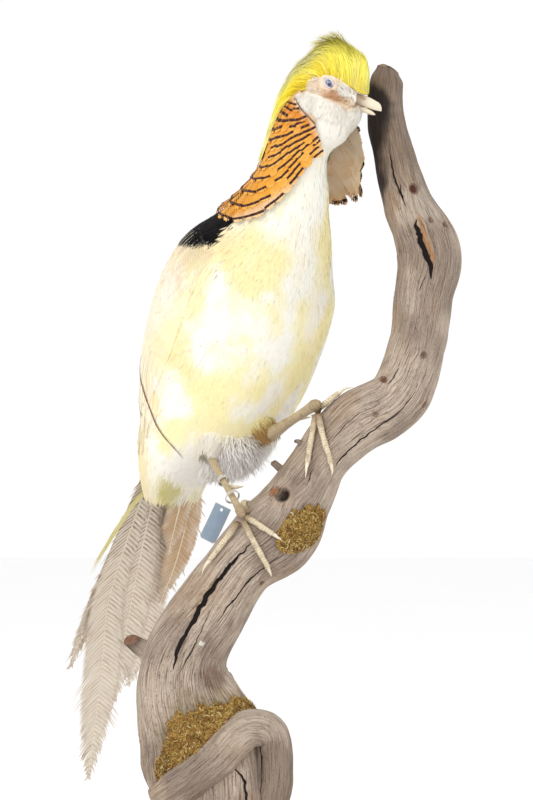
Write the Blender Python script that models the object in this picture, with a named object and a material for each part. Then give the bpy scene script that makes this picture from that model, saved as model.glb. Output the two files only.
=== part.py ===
"""Taxidermy golden pheasant cock, yellow form, perched on a weathered driftwood branch.

Lengths below are in millimetres and are turned into metres where a mesh is made.
+Z is up and the origin is the middle of the stand's underside. The bird sits side-on to the
front view: it breasts towards +X and -Y, its head is turned to +X, and its tail hangs back to +Y.
"Right" and "left" are the bird's own sides.
"""

import math

import bmesh
import bpy
import numpy as np
from mathutils import Vector

MM = 0.001
GAP = 0.4              # clearance left between neighbouring pieces
SHELL_GAP = 1.5        # clearance under a shell that lies on a rounded neighbour

# ---- Stand -------------------------------------------------------------------------------
STAND_HALF_LENGTH = 128.0
STAND_HALF_WIDTH = 104.0
STAND_THICKNESS = 20.0
STAND_BEVEL = 3.0

# ---- Branch: stations from the foot to the top, each x, y, z, half width, half depth ----------
BRANCH = np.array([
    (-20.0, -30.0, STAND_THICKNESS + GAP, 54.0, 46.0),
    (-21.0, -32.0, 62.0, 52.0, 45.0),
    (-29.5, -34.0, 104.0, 51.5, 42.0),
    (-45.4, -39.0, 147.0, 40.4, 35.0),
    (-45.0, -40.0, 176.0, 34.5, 30.0),
    (-26.9, -40.0, 207.0, 30.6, 26.5),
    (-1.5, -40.0, 246.5, 27.6, 24.0),
    (28.4, -40.0, 274.6, 33.4, 26.0),
    (47.6, -40.0, 304.6, 26.2, 23.5),
    (66.0, -40.0, 335.0, 22.8, 21.5),
    (92.0, -39.0, 361.0, 26.0, 23.5),
    (124.9, -36.0, 383.8, 24.6, 22.5),
    (141.4, -30.0, 425.0, 23.1, 21.0),
    (146.8, -25.0, 465.0, 24.0, 20.5),
    (150.2, -20.0, 500.0, 25.6, 21.0),
    (133.2, -15.0, 540.0, 20.0, 17.5),
    (122.6, -11.0, 580.0, 16.5, 15.0),
    (116.5, -9.0, 615.0, 14.9, 13.5),
    (117.5, -8.0, 650.0, 12.7, 11.5),
])
BRANCH_SIDES = 14
BRANCH_CUTS = {        # node name: first and last station
    "branch_foot": (0.0, 3.1),
    "branch_lower": (3.1, 5.6),
    "branch_perch": (5.6, 10.3),
    "branch_middle": (10.3, 14.2),
    "branch_top": (14.2, 18.0),
}
RINGS_PER_STATION = 1.8

# ---- Body: stations from the tail root to the top of the neck, each x, y, z, half width, half depth
BODY = np.array([
    (-61.0, 120.0, 302.0, 30.0, 12.0),
    (-52.5, 87.0, 327.5, 38.0, 27.0),
    (-33.3, 65.0, 357.0, 51.5, 49.5),
    (-14.3, 45.0, 398.0, 64.0, 64.0),
    (1.1, 25.0, 442.4, 67.3, 69.4),
    (15.0, 5.0, 482.2, 63.2, 66.3),
    (29.2, -12.0, 513.8, 45.0, 49.6),
    (39.1, -26.0, 541.9, 30.4, 34.6),
    (46.4, -35.0, 566.2, 24.1, 27.5),
    (53.4, -40.0, 589.0, 24.5, 30.0),
    (61.2, -43.0, 606.0, 22.5, 29.0),
    (66.0, -44.0, 620.0, 19.5, 25.0),
])
BREAST_HEADING = 50.0  # degrees from +X towards -Y that the breast faces
THROAT_HEADING = 8.0   # and the throat, because the neck is turned
NECK_TURN = (6.0, 10.5)  # stations between which it turns
BODY_SIDES = 18
BODY_CUTS = {"rump": (0.0, 1.2), "trunk": (1.2, 6.9), "neck": (6.9, 11.0)}

# ---- Head, in its own frame: x forward, y to the bird's left, z up -----------------------------
HEAD_CENTRE = np.array((69.0, -44.0, 628.0))
HEAD_PITCH = -15.0     # degrees; the bill points a little down
HEAD_YAW = 6.0         # degrees from +X towards -Y
HEAD = np.array([      # x, centre z, half width, half height
    (-25.0, 2.0, 5.0, 6.0),
    (-20.0, 1.5, 10.5, 12.5),
    (-11.0, 0.0, 14.5, 18.5),
    (0.0, -1.0, 15.5, 20.5),
    (10.0, -2.5, 14.2, 18.5),
    (18.0, -4.0, 11.4, 14.0),
    (23.0, -4.5, 9.0, 10.5),
    (26.0, -5.0, 6.5, 7.0),
])
UPPER_BILL = np.array([
    (20.0, 1.5, 7.0, 6.0),
    (27.0, 1.4, 5.6, 5.2),
    (33.0, 1.0, 4.2, 4.2),
    (39.0, -0.3, 2.9, 3.0),
    (43.5, -2.2, 1.5, 1.7),
    (45.6, -3.8, 0.5, 0.6),
])
LOWER_BILL = np.array([
    (19.0, -8.4, 6.2, 3.4),
    (27.0, -7.4, 4.9, 2.9),
    (33.0, -7.0, 3.5, 2.2),
    (38.0, -7.2, 2.1, 1.4),
    (40.6, -7.4, 0.7, 0.6),
])
EYE_AT = (0.6, 11.6, 4.4)
EYE_RADIUS = 4.6

# ---- Crest: x, y, z, half width, half thickness, from the forehead back and down the nape ------
CREST = np.array([
    (95.0, -45.0, 634.5, 7.5, 6.0),
    (89.5, -45.0, 648.5, 12.0, 11.0),
    (76.0, -44.5, 657.0, 15.5, 12.0),
    (57.0, -44.0, 649.0, 16.5, 11.5),
    (42.5, -42.0, 628.0, 15.0, 9.0),
    (33.0, -36.0, 602.0, 11.0, 6.5),
    (22.5, -27.0, 580.0, 5.0, 2.5),
])
CREST_SIDES = 9

# ---- Cape: the barred ruff, one shell on each side of the neck; the left one is fanned out -----
CAPE_EDGES = {         # rows: angle from the throat line, top and lower station, stand-off, thickness
    "cape_right": np.array([
        (40.0, 9.30, 8.40, 0.8, 2.4),
        (50.0, 9.65, 7.70, 0.8, 3.2),
        (60.0, 9.75, 7.30, 0.8, 3.6),
        (75.0, 9.80, 6.85, 0.8, 3.6),
        (90.0, 9.90, 6.45, 0.8, 3.6),
        (110.0, 10.1, 6.18, 0.8, 3.6),
        (140.0, 10.3, 6.02, 0.8, 3.6),
        (178.0, 10.4, 5.95, 0.8, 3.6),
    ]),
    "cape_left": np.array([
        (40.0, 10.3, 7.75, 26.0, 2.2),
        (60.0, 10.3, 7.30, 24.5, 2.4),
        (80.0, 10.3, 7.00, 18.0, 2.8),
        (105.0, 10.3, 6.60, 10.0, 3.2),
        (140.0, 10.4, 6.10, 3.0, 3.4),
        (178.0, 10.4, 5.95, 0.8, 3.6),
    ]),
}

# ---- Wings: shells folded on the flanks, stations and angles -----------------------------------
WING_STATIONS = (5.5, 0.85)
WING_LOWER_ANGLE = (98.0, 84.0, 86.0, 98.0, 118.0)
WING_UPPER_ANGLE = (140.0, 158.0, 166.0, 170.0, 168.0)
WING_THICKNESS = (3.0, 7.0, 6.5, 5.0, 2.4)

# ---- Tail: its frame, and blades in it, each row along, across (+ to the bird's left), half width --
TAIL_ROOT = np.array((-60.0, 104.0, 322.0))
TAIL_AXIS = np.array((-0.2392, 0.5083, -0.8272))
TAIL_LEFT = np.array((0.8218, 0.5598, 0.1059))
TAIL_BLADES = {        # rows, layer counted towards the back
    "tail_left_short": (((8, 16, 9), (30, 18.5, 12), (60, 21, 11.5), (94, 24, 1.2)), -1),
    "tail_left_plain": (((8, 22, 9), (50, 31.5, 14), (103, 35.5, 12), (149, 32.5, 1.2)), 0),
    "tail_middle": (((8, -22.5, 10), (54, -21, 17), (141, -21, 21), (208, -13, 21.5), (274, -2, 14),
                     (335, 3, 1.2)), 1),
    "tail_left_long": (((8, 4, 12), (84, 14.5, 19), (151, 23.5, 18), (205, 29, 13), (241, 25, 1.2)), 2),
    "tail_right_long": (((8, -24, 8), (80, -23, 13), (154, -30, 13), (211, -44, 1.2)), 3),
}
TAIL_LAYER = 2.8
TAIL_THICKNESS = 1.5
TAIL_BOW = 9.0         # the fan's sag towards the back, halfway down
TAIL_ROOF = 190.0      # radius of the fan's arch across

# ---- Legs ----------------------------------------------------------------------------------
SHANKS = {             # foot joint, hock
    "right": ((-1.0, -60.0, 292.0), (-27.0, 8.0, 336.0)),
    "left": ((58.0, -47.0, 375.5), (20.0, 14.0, 350.0)),
}
SHANK_RADIUS = 3.7
THIGHS = {             # middle of the thigh's top, hock end, radius at the top and at the hock
    "right": ((-16.0, 22.0, 368.0), (-27.0, 6.5, 337.0), 20.0, 9.0),
    "left": ((4.0, 8.0, 382.0), (20.0, 13.0, 351.0), 17.0, 10.0),
}
SPUR_SHARE = 0.40      # place along the shank, from the foot joint
SPUR_LENGTH = 11.0
TOE_RADIUS = (3.1, 2.3)
CLAW_LENGTH = 12.0
CLAW_RADIUS = 1.7
TOE_LIFT = 0.7
TOES = {               # bird side, toe: root and end of the last pad
    ("right", "inner"): ((4.5, -60.0, 286.0), (25.0, -62.0, 273.5)),
    ("right", "middle"): ((1.5, -62.0, 284.0), (20.5, -62.0, 248.0)),
    ("right", "outer"): ((-4.0, -61.0, 284.0), (-24.0, -57.0, 252.0)),
    ("right", "hind"): ((6.5, -54.0, 288.5), (17.0, -31.0, 290.0)),
    ("left", "inner"): ((56.0, -54.0, 371.0), (52.0, -64.0, 331.0)),
    ("left", "middle"): ((60.0, -54.0, 370.0), (71.0, -64.0, 330.0)),
    ("left", "outer"): ((63.0, -47.0, 375.0), (80.0, -44.0, 381.0)),
    ("left", "hind"): ((62.0, -40.0, 371.0), (66.0, -22.0, 357.0)),
}

# ---- Small things on the branch and the leg ----------------------------------------------------
STUBS = {              # root, tip, root radius, tip radius
    "stub_low": ((-66.0, -32.0, 172.0), (-88.0, -26.0, 186.5), 11.0, 7.5),
    "twig_low": ((42.0, -38.0, 316.0), (26.0, -36.0, 329.5), 4.4, 2.6),
}
CURL = np.array([      # root burl that lies across the front of the foot
    (-64.0, -62.0, 66.0, 11.0),
    (-44.0, -71.0, 76.0, 13.0),
    (-20.0, -75.0, 96.0, 13.5),
    (3.0, -70.0, 115.0, 14.0),
    (20.0, -60.0, 110.0, 14.0),
    (22.5, -51.0, 76.0, 14.0),
    (17.0, -48.0, STAND_THICKNESS + GAP + 14.0, 13.5),
])
MOSS = {               # rows: angle round the branch (0 faces front), lower and upper station; thickness
    "moss_foot": (((48, 1.60, 2.05), (34, 1.60, 2.50), (10, 1.80, 2.75), (-10, 2.10, 2.75),
                   (-40, 2.22, 2.62), (-68, 2.22, 2.32)), 5.0),
    "moss_knot": (((-4, 6.98, 7.50), (-16, 6.88, 7.75), (-30, 6.92, 7.86), (-44, 7.08, 7.90),
                   (-60, 7.45, 7.88)), 3.0),
}
TAG_CENTRE = (-21.0, -42.5, 281.5)
TAG_SIZE = (14.0, 0.8, 31.0)
TAG_TILT = 26.0
RING_SHARE = 0.53
RING_RADIUS = 5.4
RING_THICKNESS = 0.8
LOOP_SHARE = 0.24
LOOP_RADIUS = 6.6

COLOURS = {            # material: colour, roughness
    "plumage_cream": ((0.90, 0.83, 0.60), 0.85),
    "plumage_yellow": ((0.88, 0.70, 0.12), 0.80),
    "plumage_orange": ((0.82, 0.46, 0.10), 0.75),
    "plumage_tail": ((0.68, 0.58, 0.46), 0.80),
    "horn": ((0.82, 0.74, 0.58), 0.45),
    "leg_skin": ((0.74, 0.62, 0.42), 0.60),
    "glass_eye": ((0.32, 0.36, 0.44), 0.08),
    "driftwood": ((0.48, 0.41, 0.34), 0.90),
    "moss": ((0.42, 0.29, 0.09), 0.95),
    "card": ((0.55, 0.63, 0.70), 0.85),
    "thread": ((0.86, 0.84, 0.82), 0.80),
    "stand_wood": ((0.20, 0.12, 0.07), 0.50),
}


# ================================ Mesh tools ====================================================
def clear_scene():
    for old in list(bpy.data.objects):
        bpy.data.objects.remove(old)


def finish_material(name):
    """The named Principled material, made once."""
    found = bpy.data.materials.get(name)
    if found:
        return found
    colour, roughness = COLOURS[name]
    made = bpy.data.materials.new(name)
    made.use_nodes = True
    shader = made.node_tree.nodes["Principled BSDF"]
    shader.inputs["Base Color"].default_value = (*colour, 1.0)
    shader.inputs["Roughness"].default_value = roughness
    shader.inputs["Metallic"].default_value = 0.0
    made.diffuse_color = (*colour, 1.0)
    return made


def object_from(name, points, faces, material):
    """A closed mesh object from points in millimetres, with its faces turned outwards."""
    mesh = bpy.data.meshes.new(name)
    mesh.from_pydata((np.asarray(points) * MM).tolist(), [], faces)
    made = bpy.data.objects.new(name, mesh)
    bpy.context.scene.collection.objects.link(made)
    mesh.materials.append(finish_material(material))
    tidy(made)
    return made


def tidy(obj):
    """Merges doubles, turns faces outwards, keeps the largest closed piece and shades it smooth."""
    work = bmesh.new()
    work.from_mesh(obj.data)
    bmesh.ops.remove_doubles(work, verts=work.verts, dist=2e-6)
    bmesh.ops.dissolve_degenerate(work, edges=work.edges, dist=2e-6)
    islands, left = [], set(work.verts)
    while left:
        island, todo = set(), [left.pop()]
        while todo:
            vert = todo.pop()
            island.add(vert)
            for edge in vert.link_edges:
                other = edge.other_vert(vert)
                if other in left:
                    left.discard(other)
                    todo.append(other)
        islands.append(island)
    islands.sort(key=len, reverse=True)
    for island in islands[1:]:
        bmesh.ops.delete(work, geom=list(island), context="VERTS")
    bmesh.ops.recalc_face_normals(work, faces=work.faces)
    bmesh.ops.triangulate(work, faces=work.faces)
    work.to_mesh(obj.data)
    work.free()
    obj.data.shade_smooth()


def tube_faces(rings, sides):
    """Quads between rings of a tube, with a point at each end as its cap."""
    first_pole, last_pole = rings * sides, rings * sides + 1
    faces = []
    for i in range(rings - 1):
        for j in range(sides):
            k = (j + 1) % sides
            faces.append((i * sides + j, i * sides + k, (i + 1) * sides + k, (i + 1) * sides + j))
    top = (rings - 1) * sides
    for j in range(sides):
        k = (j + 1) % sides
        faces.append((first_pole, k, j))
        faces.append((last_pole, top + j, top + k))
    return faces


def tube_object(name, grid, material):
    """A closed tube from rings of points, grid[ring, side], capped flat at both ends."""
    rings, sides = grid.shape[:2]
    points = np.concatenate([grid.reshape(-1, 3), grid[0].mean(0)[None], grid[-1].mean(0)[None]])
    return object_from(name, points, tube_faces(rings, sides), material)


def shell_object(name, outer, inner, material):
    """A closed plate between two open grids of the same shape."""
    rows, columns = outer.shape[:2]
    count = rows * columns
    faces = []
    for i in range(rows - 1):
        for j in range(columns - 1):
            quad = (i * columns + j, i * columns + j + 1, (i + 1) * columns + j + 1, (i + 1) * columns + j)
            faces.append(quad)
            faces.append(tuple(count + q for q in reversed(quad)))
    rim = [j for j in range(columns)]
    rim += [i * columns + columns - 1 for i in range(1, rows)]
    rim += [(rows - 1) * columns + j for j in range(columns - 2, -1, -1)]
    rim += [i * columns for i in range(rows - 2, 0, -1)]
    for a, b in zip(rim, rim[1:] + rim[:1]):
        faces.append((b, a, count + a, count + b))
    return object_from(name, np.concatenate([outer.reshape(-1, 3), inner.reshape(-1, 3)]), faces, material)


def grown_copy(obj, gap):
    """A copy of a solid with its surface moved out by the gap, to cut a neighbour with."""
    copy = obj.copy()
    copy.data = obj.data.copy()
    normals = [vert.normal.copy() for vert in copy.data.vertices]
    for vert, normal in zip(copy.data.vertices, normals):
        vert.co += normal * (gap * MM)
    bpy.context.scene.collection.objects.link(copy)
    return copy


def carve(obj, *neighbours, gap=GAP):
    """Cuts the neighbours, grown by the gap, out of a solid, so that they meet without overlap."""
    for neighbour in neighbours:
        cutter = grown_copy(neighbour, gap)
        cut = obj.modifiers.new("cut", "BOOLEAN")
        cut.operation = "DIFFERENCE"
        cut.object = cutter
        graph = bpy.context.evaluated_depsgraph_get()
        mesh = bpy.data.meshes.new_from_object(obj.evaluated_get(graph))
        obj.modifiers.clear()
        obj.data = mesh
        bpy.data.objects.remove(cutter)
    tidy(obj)
    return obj


# ================================ Curves and frames =============================================
def along(stations, t):
    """Catmull-Rom curve through rows of stations, at parameters t, where row i is at t = i."""
    t = np.atleast_1d(np.asarray(t, float))
    rows = np.vstack([2 * stations[0] - stations[1], stations, 2 * stations[-1] - stations[-2]])
    i = np.clip(np.floor(t).astype(int), 0, len(stations) - 2)
    f = (t - i)[:, None]
    a, b, c, d = rows[i], rows[i + 1], rows[i + 2], rows[i + 3]
    return 0.5 * (2 * b + (c - a) * f + (2 * a - 5 * b + 4 * c - d) * f**2 + (3 * b - a - 3 * c + d) * f**3)


def unit(v):
    return v / np.linalg.norm(v, axis=-1, keepdims=True)


def tangents(stations, t, step=0.02):
    end = len(stations) - 1
    t = np.atleast_1d(np.asarray(t, float))
    low, high = np.clip(t - step, 0, end), np.clip(t + step, 0, end)
    return unit(along(stations, high)[:, :3] - along(stations, low)[:, :3])


def ring_grid(centres, side, up, half_side, half_up, sides):
    """Elliptic rings: point k of a ring is at k turns / sides from -up, towards +side."""
    angle = np.linspace(0, 2 * math.pi, sides, endpoint=False)
    across = half_side[:, None, None] * np.sin(angle)[None, :, None] * side[:, None, :]
    upright = -half_up[:, None, None] * np.cos(angle)[None, :, None] * up[:, None, :]
    return centres[:, None, :] + across + upright


def smooth_step(x, low, high):
    f = np.clip((x - low) / (high - low), 0, 1)
    return f * f * (3 - 2 * f)


# ================================ Branch =========================================================
def branch_frame(t):
    """Centre, tangent, side, front and half sizes of the branch at stations t."""
    found = along(BRANCH, t)
    tangent = tangents(BRANCH, t)
    front = np.array((0.0, -1.0, 0.0)) - tangent * (tangent @ np.array((0.0, -1.0, 0.0)))[:, None]
    front = unit(front)
    side = np.cross(front, tangent)
    return found[:, :3], tangent, side, front, found[:, 3], found[:, 4]


def branch_point(t, angle, lift=0.0):
    """A point at angle (degrees from the front, towards the side) round the branch, lifted off it."""
    centre, _, side, front, half_side, half_front = branch_frame(t)
    turn = np.radians(angle)
    knots = 1 + 0.035 * np.sin(3 * turn + 1.7 * t) + 0.02 * np.sin(5 * turn - 2.6 * t)
    across = (half_side * knots + lift) * np.sin(turn)
    forward = (half_front * knots + lift) * np.cos(turn)
    return centre + across[:, None] * side + forward[:, None] * front


def build_branch():
    turns = np.arange(BRANCH_SIDES) * 360.0 / BRANCH_SIDES
    made = {}
    for name, (low, high) in BRANCH_CUTS.items():
        rings = max(4, int(round((high - low) * RINGS_PER_STATION)) + 1)
        length = np.linalg.norm(np.diff(along(BRANCH, [low, high])[:, :3], axis=0))
        inset = (high - low) * GAP / 2 / length
        start = low if low == 0 else low + inset
        stations = np.linspace(start, high - inset, rings)
        grid = np.stack([branch_point(stations, np.full(rings, turn)) for turn in turns], axis=1)
        if low == 0:
            grid[0, :, 2] = STAND_THICKNESS + GAP
        made[name] = tube_object(name, grid, "driftwood")
    return made


def on_branch(point, lift):
    """The point moved straight out from the branch's centre line to its surface, plus a lift."""
    t = np.linspace(4.0, 12.5, 600)
    centre, tangent, side, front, half_side, half_front = branch_frame(t)
    near = int(np.argmin(np.linalg.norm(centre - point, axis=1)))
    out = point - centre[near]
    turn = math.atan2(out @ side[near] / half_side[near], out @ front[near] / half_front[near])
    return branch_point(t[near:near + 1], math.degrees(turn), lift)[0]


def round_tube(name, path, radii, material, sides=8):
    """A round tube along a path of points, with a radius at each."""
    path, radii = np.asarray(path, float), np.asarray(radii, float)
    direction = unit(np.gradient(path, axis=0))
    reference = np.array((0.0, 0.0, 1.0)) if abs(direction[0, 2]) < 0.8 else np.array((0.0, 1.0, 0.0))
    side = unit(np.cross(direction, reference))
    up = np.cross(side, direction)
    return tube_object(name, ring_grid(path, side, up, radii, radii, sides), material)


def build_branch_details(branch):
    made = {}
    curl_path = along(CURL, np.linspace(0, len(CURL) - 1, 15))
    made["branch_curl"] = round_tube("branch_curl", curl_path[:, :3], curl_path[:, 3], "driftwood", 10)
    carve(made["branch_curl"], branch["branch_foot"])
    for name, (root, tip, wide, narrow) in STUBS.items():
        path = np.linspace(root, tip, 4)
        made[name] = round_tube(name, path, np.linspace(wide, narrow, 4), "driftwood", 10)
        nearest = sorted(branch.values(), key=lambda b: (Vector(root) * MM - box_centre(b)).length)
        carve(made[name], *nearest[:2])
    return made


def build_moss(curl, toes):
    made = {}
    for name, (rows, thickness) in MOSS.items():
        rows = np.array(rows, float)
        turns, low, high = along(rows, np.linspace(0, len(rows) - 1, 7)).T
        outer, inner = np.zeros((5, 7, 3)), np.zeros((5, 7, 3))
        for i, share in enumerate(np.linspace(0, 1, 5)):
            swell = thickness * math.sin(math.pi * share) * np.sin(np.linspace(0, math.pi, 7))
            stations = low + (high - low) * share
            inner[i] = branch_point(stations, turns, SHELL_GAP)
            outer[i] = branch_point(stations, turns, SHELL_GAP + 0.8 + swell)
        made[name] = shell_object(name, outer, inner, "moss")
    carve(made["moss_foot"], curl)
    carve(made["moss_knot"], *toes)
    return made


def box_centre(obj):
    return sum((Vector(c) for c in obj.bound_box), Vector()) / 8


# ================================ Body ===========================================================
def body_frame(s):
    """Centre, tangent, right and dorsal directions and half sizes of the body at stations s."""
    found = along(BODY, s)
    tangent = tangents(BODY, s)
    turned = smooth_step(np.atleast_1d(s), *NECK_TURN)
    heading = np.radians(BREAST_HEADING + (THROAT_HEADING - BREAST_HEADING) * turned)
    back = -np.stack([np.cos(heading), -np.sin(heading), np.zeros_like(heading)], axis=1)
    dorsal = unit(back - tangent * np.sum(back * tangent, axis=1)[:, None])
    right = np.cross(dorsal, -tangent)
    return found[:, :3], tangent, right, dorsal, found[:, 3], found[:, 4]


def body_point(s, angle, lift=0.0):
    """A point at angle (degrees from the belly line, towards the bird's right) round the body."""
    centre, _, right, dorsal, half_width, half_depth = body_frame(s)
    turn = np.radians(angle)
    across = (half_width + lift) * np.sin(turn)
    upward = -(half_depth + lift) * np.cos(turn)
    return centre + across[:, None] * right + upward[:, None] * dorsal


def build_body():
    turns = np.arange(BODY_SIDES) * 360.0 / BODY_SIDES
    made = {}
    for name, (low, high) in BODY_CUTS.items():
        rings = int(round((high - low) * 2)) + 2
        length = np.linalg.norm(np.diff(along(BODY, [low, high])[:, :3], axis=0))
        inset = (high - low) * GAP / 2 / length
        stations = np.linspace(low + inset, high - inset, rings)
        grid = np.stack([body_point(stations, np.full(rings, turn)) for turn in turns], axis=1)
        made[name] = tube_object(name, grid, "plumage_cream")
    return made


def head_matrix():
    """Columns are the head's forward, left and up directions."""
    yaw, pitch = math.radians(HEAD_YAW), math.radians(HEAD_PITCH)
    level = np.array((math.cos(yaw), -math.sin(yaw), 0.0))
    forward = level * math.cos(pitch) + np.array((0, 0, math.sin(pitch)))
    left = np.cross((0, 0, 1.0), level)
    return np.stack([forward, left, np.cross(forward, left)], axis=1)


def head_loft(name, stations, material, rings, sides):
    """A tube in the head's frame from rows of x, centre z, half width and half height."""
    found = along(stations, np.linspace(0, len(stations) - 1, rings))
    axes = head_matrix()
    local = np.stack([found[:, 0], np.zeros(rings), found[:, 1]], axis=1)
    centres = HEAD_CENTRE + local @ axes.T
    side = np.tile(axes[:, 1], (rings, 1))
    up = np.tile(axes[:, 2], (rings, 1))
    grid = ring_grid(centres, side, up, found[:, 2], found[:, 3], sides)
    return tube_object(name, grid, material)


def ball(name, centre, radius, material, rings=7, sides=10):
    lat = np.linspace(0.12, math.pi - 0.12, rings)
    lon = np.linspace(0, 2 * math.pi, sides, endpoint=False)
    ring = np.stack([np.outer(np.sin(lat), np.cos(lon)), np.outer(np.sin(lat), np.sin(lon)),
                     np.outer(np.cos(lat), np.ones(sides))], axis=2)
    return tube_object(name, np.asarray(centre) + np.asarray(radius) * ring, material)


def build_head(neck):
    made = {"head": head_loft("head", HEAD, "plumage_cream", 9, 14)}
    axes = head_matrix()
    for side, sign in (("left", 1), ("right", -1)):
        local = np.array((EYE_AT[0], sign * EYE_AT[1], EYE_AT[2]))
        name = "eye_" + side
        made[name] = ball(name, HEAD_CENTRE + axes @ local, EYE_RADIUS, "glass_eye")
    made["bill_upper"] = head_loft("bill_upper", UPPER_BILL, "horn", 8, 10)
    made["bill_lower"] = head_loft("bill_lower", LOWER_BILL, "horn", 6, 10)
    carve(made["head"], neck, made["eye_left"], made["eye_right"])
    carve(made["bill_upper"], made["head"], neck)
    carve(made["bill_lower"], made["head"], neck, made["bill_upper"])
    return made


def build_crest(blockers):
    found = along(CREST, np.linspace(0, len(CREST) - 1, 10))
    centres = found[:, :3]
    direction = unit(np.gradient(centres, axis=0))
    left = np.tile(head_matrix()[:, 1], (len(centres), 1))
    up = unit(np.cross(left, direction))
    left = np.cross(direction, up)
    grid = ring_grid(centres, left, up, found[:, 3], found[:, 4], CREST_SIDES)
    crest = tube_object("crest", grid, "plumage_yellow")
    return carve(crest, *blockers)


def build_cape():
    made = {}
    for name, rows in CAPE_EDGES.items():
        sign = 1 if name == "cape_right" else -1
        found = along(rows, np.linspace(0, len(rows) - 1, 10))
        turn, top, low, lift, thickness = found.T
        outer, inner = np.zeros((7, 10, 3)), np.zeros((7, 10, 3))
        for i, share in enumerate(np.linspace(0, 1, 7)):
            stations = top + (low - top) * share
            rise = SHELL_GAP + lift * share**np.where(lift > 2.0, 0.45, 1.0)
            inner[i] = body_point(stations, sign * turn, rise)
            outer[i] = body_point(stations, sign * turn, rise + 1.2 + (thickness - 1.2) * share)
        made[name] = shell_object(name, outer, inner, "plumage_orange")
    return made


def build_wings(cape):
    rows, columns = 10, 6
    share = np.linspace(0, 1, rows)
    knots = np.linspace(0, 1, len(WING_THICKNESS))
    stations = WING_STATIONS[0] + (WING_STATIONS[1] - WING_STATIONS[0]) * share
    lower = np.interp(share, knots, WING_LOWER_ANGLE)
    upper = np.interp(share, knots, WING_UPPER_ANGLE)
    thick = np.interp(share, knots, WING_THICKNESS)
    made = {}
    for side, sign in (("right", 1), ("left", -1)):
        outer, inner = np.zeros((rows, columns, 3)), np.zeros((rows, columns, 3))
        for j, across in enumerate(np.linspace(0, 1, columns)):
            turn = lower + (upper - lower) * across
            swell = 0.45 + 0.55 * math.sin(math.pi * (0.08 + 0.84 * across))
            inner[:, j] = body_point(stations, sign * turn, SHELL_GAP)
            outer[:, j] = body_point(stations, sign * turn, SHELL_GAP + 0.8 + thick * swell)
        name = "wing_" + side
        made[name] = carve(shell_object(name, outer, inner, "plumage_cream"), cape["cape_" + side])
    return made


# ================================ Tail ===========================================================
def tail_point(down, across, rise=0.0):
    """A point of the arched fan: down its axis, across to the bird's left, raised towards the back."""
    back = np.cross(TAIL_LEFT, TAIL_AXIS)
    share = down / 330.0
    lift = TAIL_BOW * 4 * share * (1 - share) - across**2 / (2 * TAIL_ROOF) + rise
    return TAIL_ROOT + down[..., None] * TAIL_AXIS + across[..., None] * TAIL_LEFT + lift[..., None] * back


def build_tail(rump):
    made = {}
    for name, (rows, layer) in TAIL_BLADES.items():
        rows = np.array(rows, float)
        found = along(rows, np.linspace(0, len(rows) - 1, 2 * len(rows)))
        spread = np.linspace(-1, 1, 5)
        down = found[:, :1] + 0 * spread
        across = found[:, 1:2] + np.maximum(found[:, 2:3], 1.2) * spread
        rise = layer * TAIL_LAYER
        made[name] = shell_object(name, tail_point(down, across, rise + TAIL_THICKNESS / 2),
                                  tail_point(down, across, rise - TAIL_THICKNESS / 2), "plumage_tail")
        carve(made[name], rump)
    return made


# ================================ Legs ===========================================================
def build_legs(body, branch):
    made = {}
    for side, (top, hock, wide, narrow) in THIGHS.items():
        name = "thigh_" + side
        path = np.linspace(top, hock, 6)
        bulge = wide + (narrow - wide) * np.linspace(0, 1, 6) ** 0.8
        made[name] = carve(round_tube(name, path, bulge, "plumage_cream", 12), body["trunk"])
    carve(made["thigh_left"], made["thigh_right"])
    for side, (foot, hock) in SHANKS.items():
        foot, hock = np.array(foot), np.array(hock)
        pad = "foot_" + side
        made[pad] = carve(ball(pad, foot, (6.2, 5.6, 5.6), "leg_skin", 5, 8), *branch)
        name = "shank_" + side
        swell = np.array([1.1, 0.95, 0.9, 0.92, 1.0, 1.25, 1.45, 1.2])
        path = np.linspace(foot, hock, len(swell))
        made[name] = round_tube(name, path, SHANK_RADIUS * swell, "leg_skin", 8)
        carve(made[name], made[pad], made["thigh_" + side], body["trunk"])
        root = foot + (hock - foot) * SPUR_SHARE
        away = unit(np.array((0.75, 0.35, 0.1)))
        spur = "spur_" + side
        path = np.linspace(root, root + away * (SPUR_LENGTH + SHANK_RADIUS), 4)
        made[spur] = carve(round_tube(spur, path, [2.6, 2.2, 1.4, 0.5], "horn", 6), made[name])
    for (side, toe), (root, end) in TOES.items():
        name = f"toe_{side}_{toe}"
        share = np.linspace(0, 1, 6)
        line = np.array(root) + share[:, None] * (np.array(end) - np.array(root))
        radii = TOE_RADIUS[0] + (TOE_RADIUS[1] - TOE_RADIUS[0]) * share
        path = np.array([on_branch(p, r + TOE_LIFT) for p, r in zip(line, radii)])
        blend = (1 - share[:, None]) ** 3
        path = path * (1 - blend) + (np.array(root) + path[0]) / 2 * blend
        made[name] = round_tube(name, path, radii, "leg_skin", 6)
        ahead = unit(path[-1] - path[-2])
        claw_line = path[-1] + np.array([0.2, 0.5, 0.8, 1.0])[:, None] * CLAW_LENGTH * ahead
        heights = (2.6, 3.0, 2.2, 0.9)
        claw_path = np.vstack([path[-1], [on_branch(p, h) for p, h in zip(claw_line, heights)]])
        claw_radii = CLAW_RADIUS * np.array([1.15, 1.1, 0.85, 0.5, 0.16])
        claw = f"claw_{side}_{toe}"
        made[claw] = round_tube(claw, claw_path, claw_radii, "horn", 5)
        toes_before = [made[other] for other in made if other.startswith("toe_" + side) and other != name]
        carve(made[name], made["foot_" + side], made["shank_" + side], *toes_before, *branch)
        carve(made[claw], made[name], *branch)
    return made


def build_vent(blockers):
    vent = ball("vent_down", (-3.0, 27.0, 343.0), (23.0, 21.0, 18.5), "plumage_cream", 7, 12)
    return carve(vent, *blockers)


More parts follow.
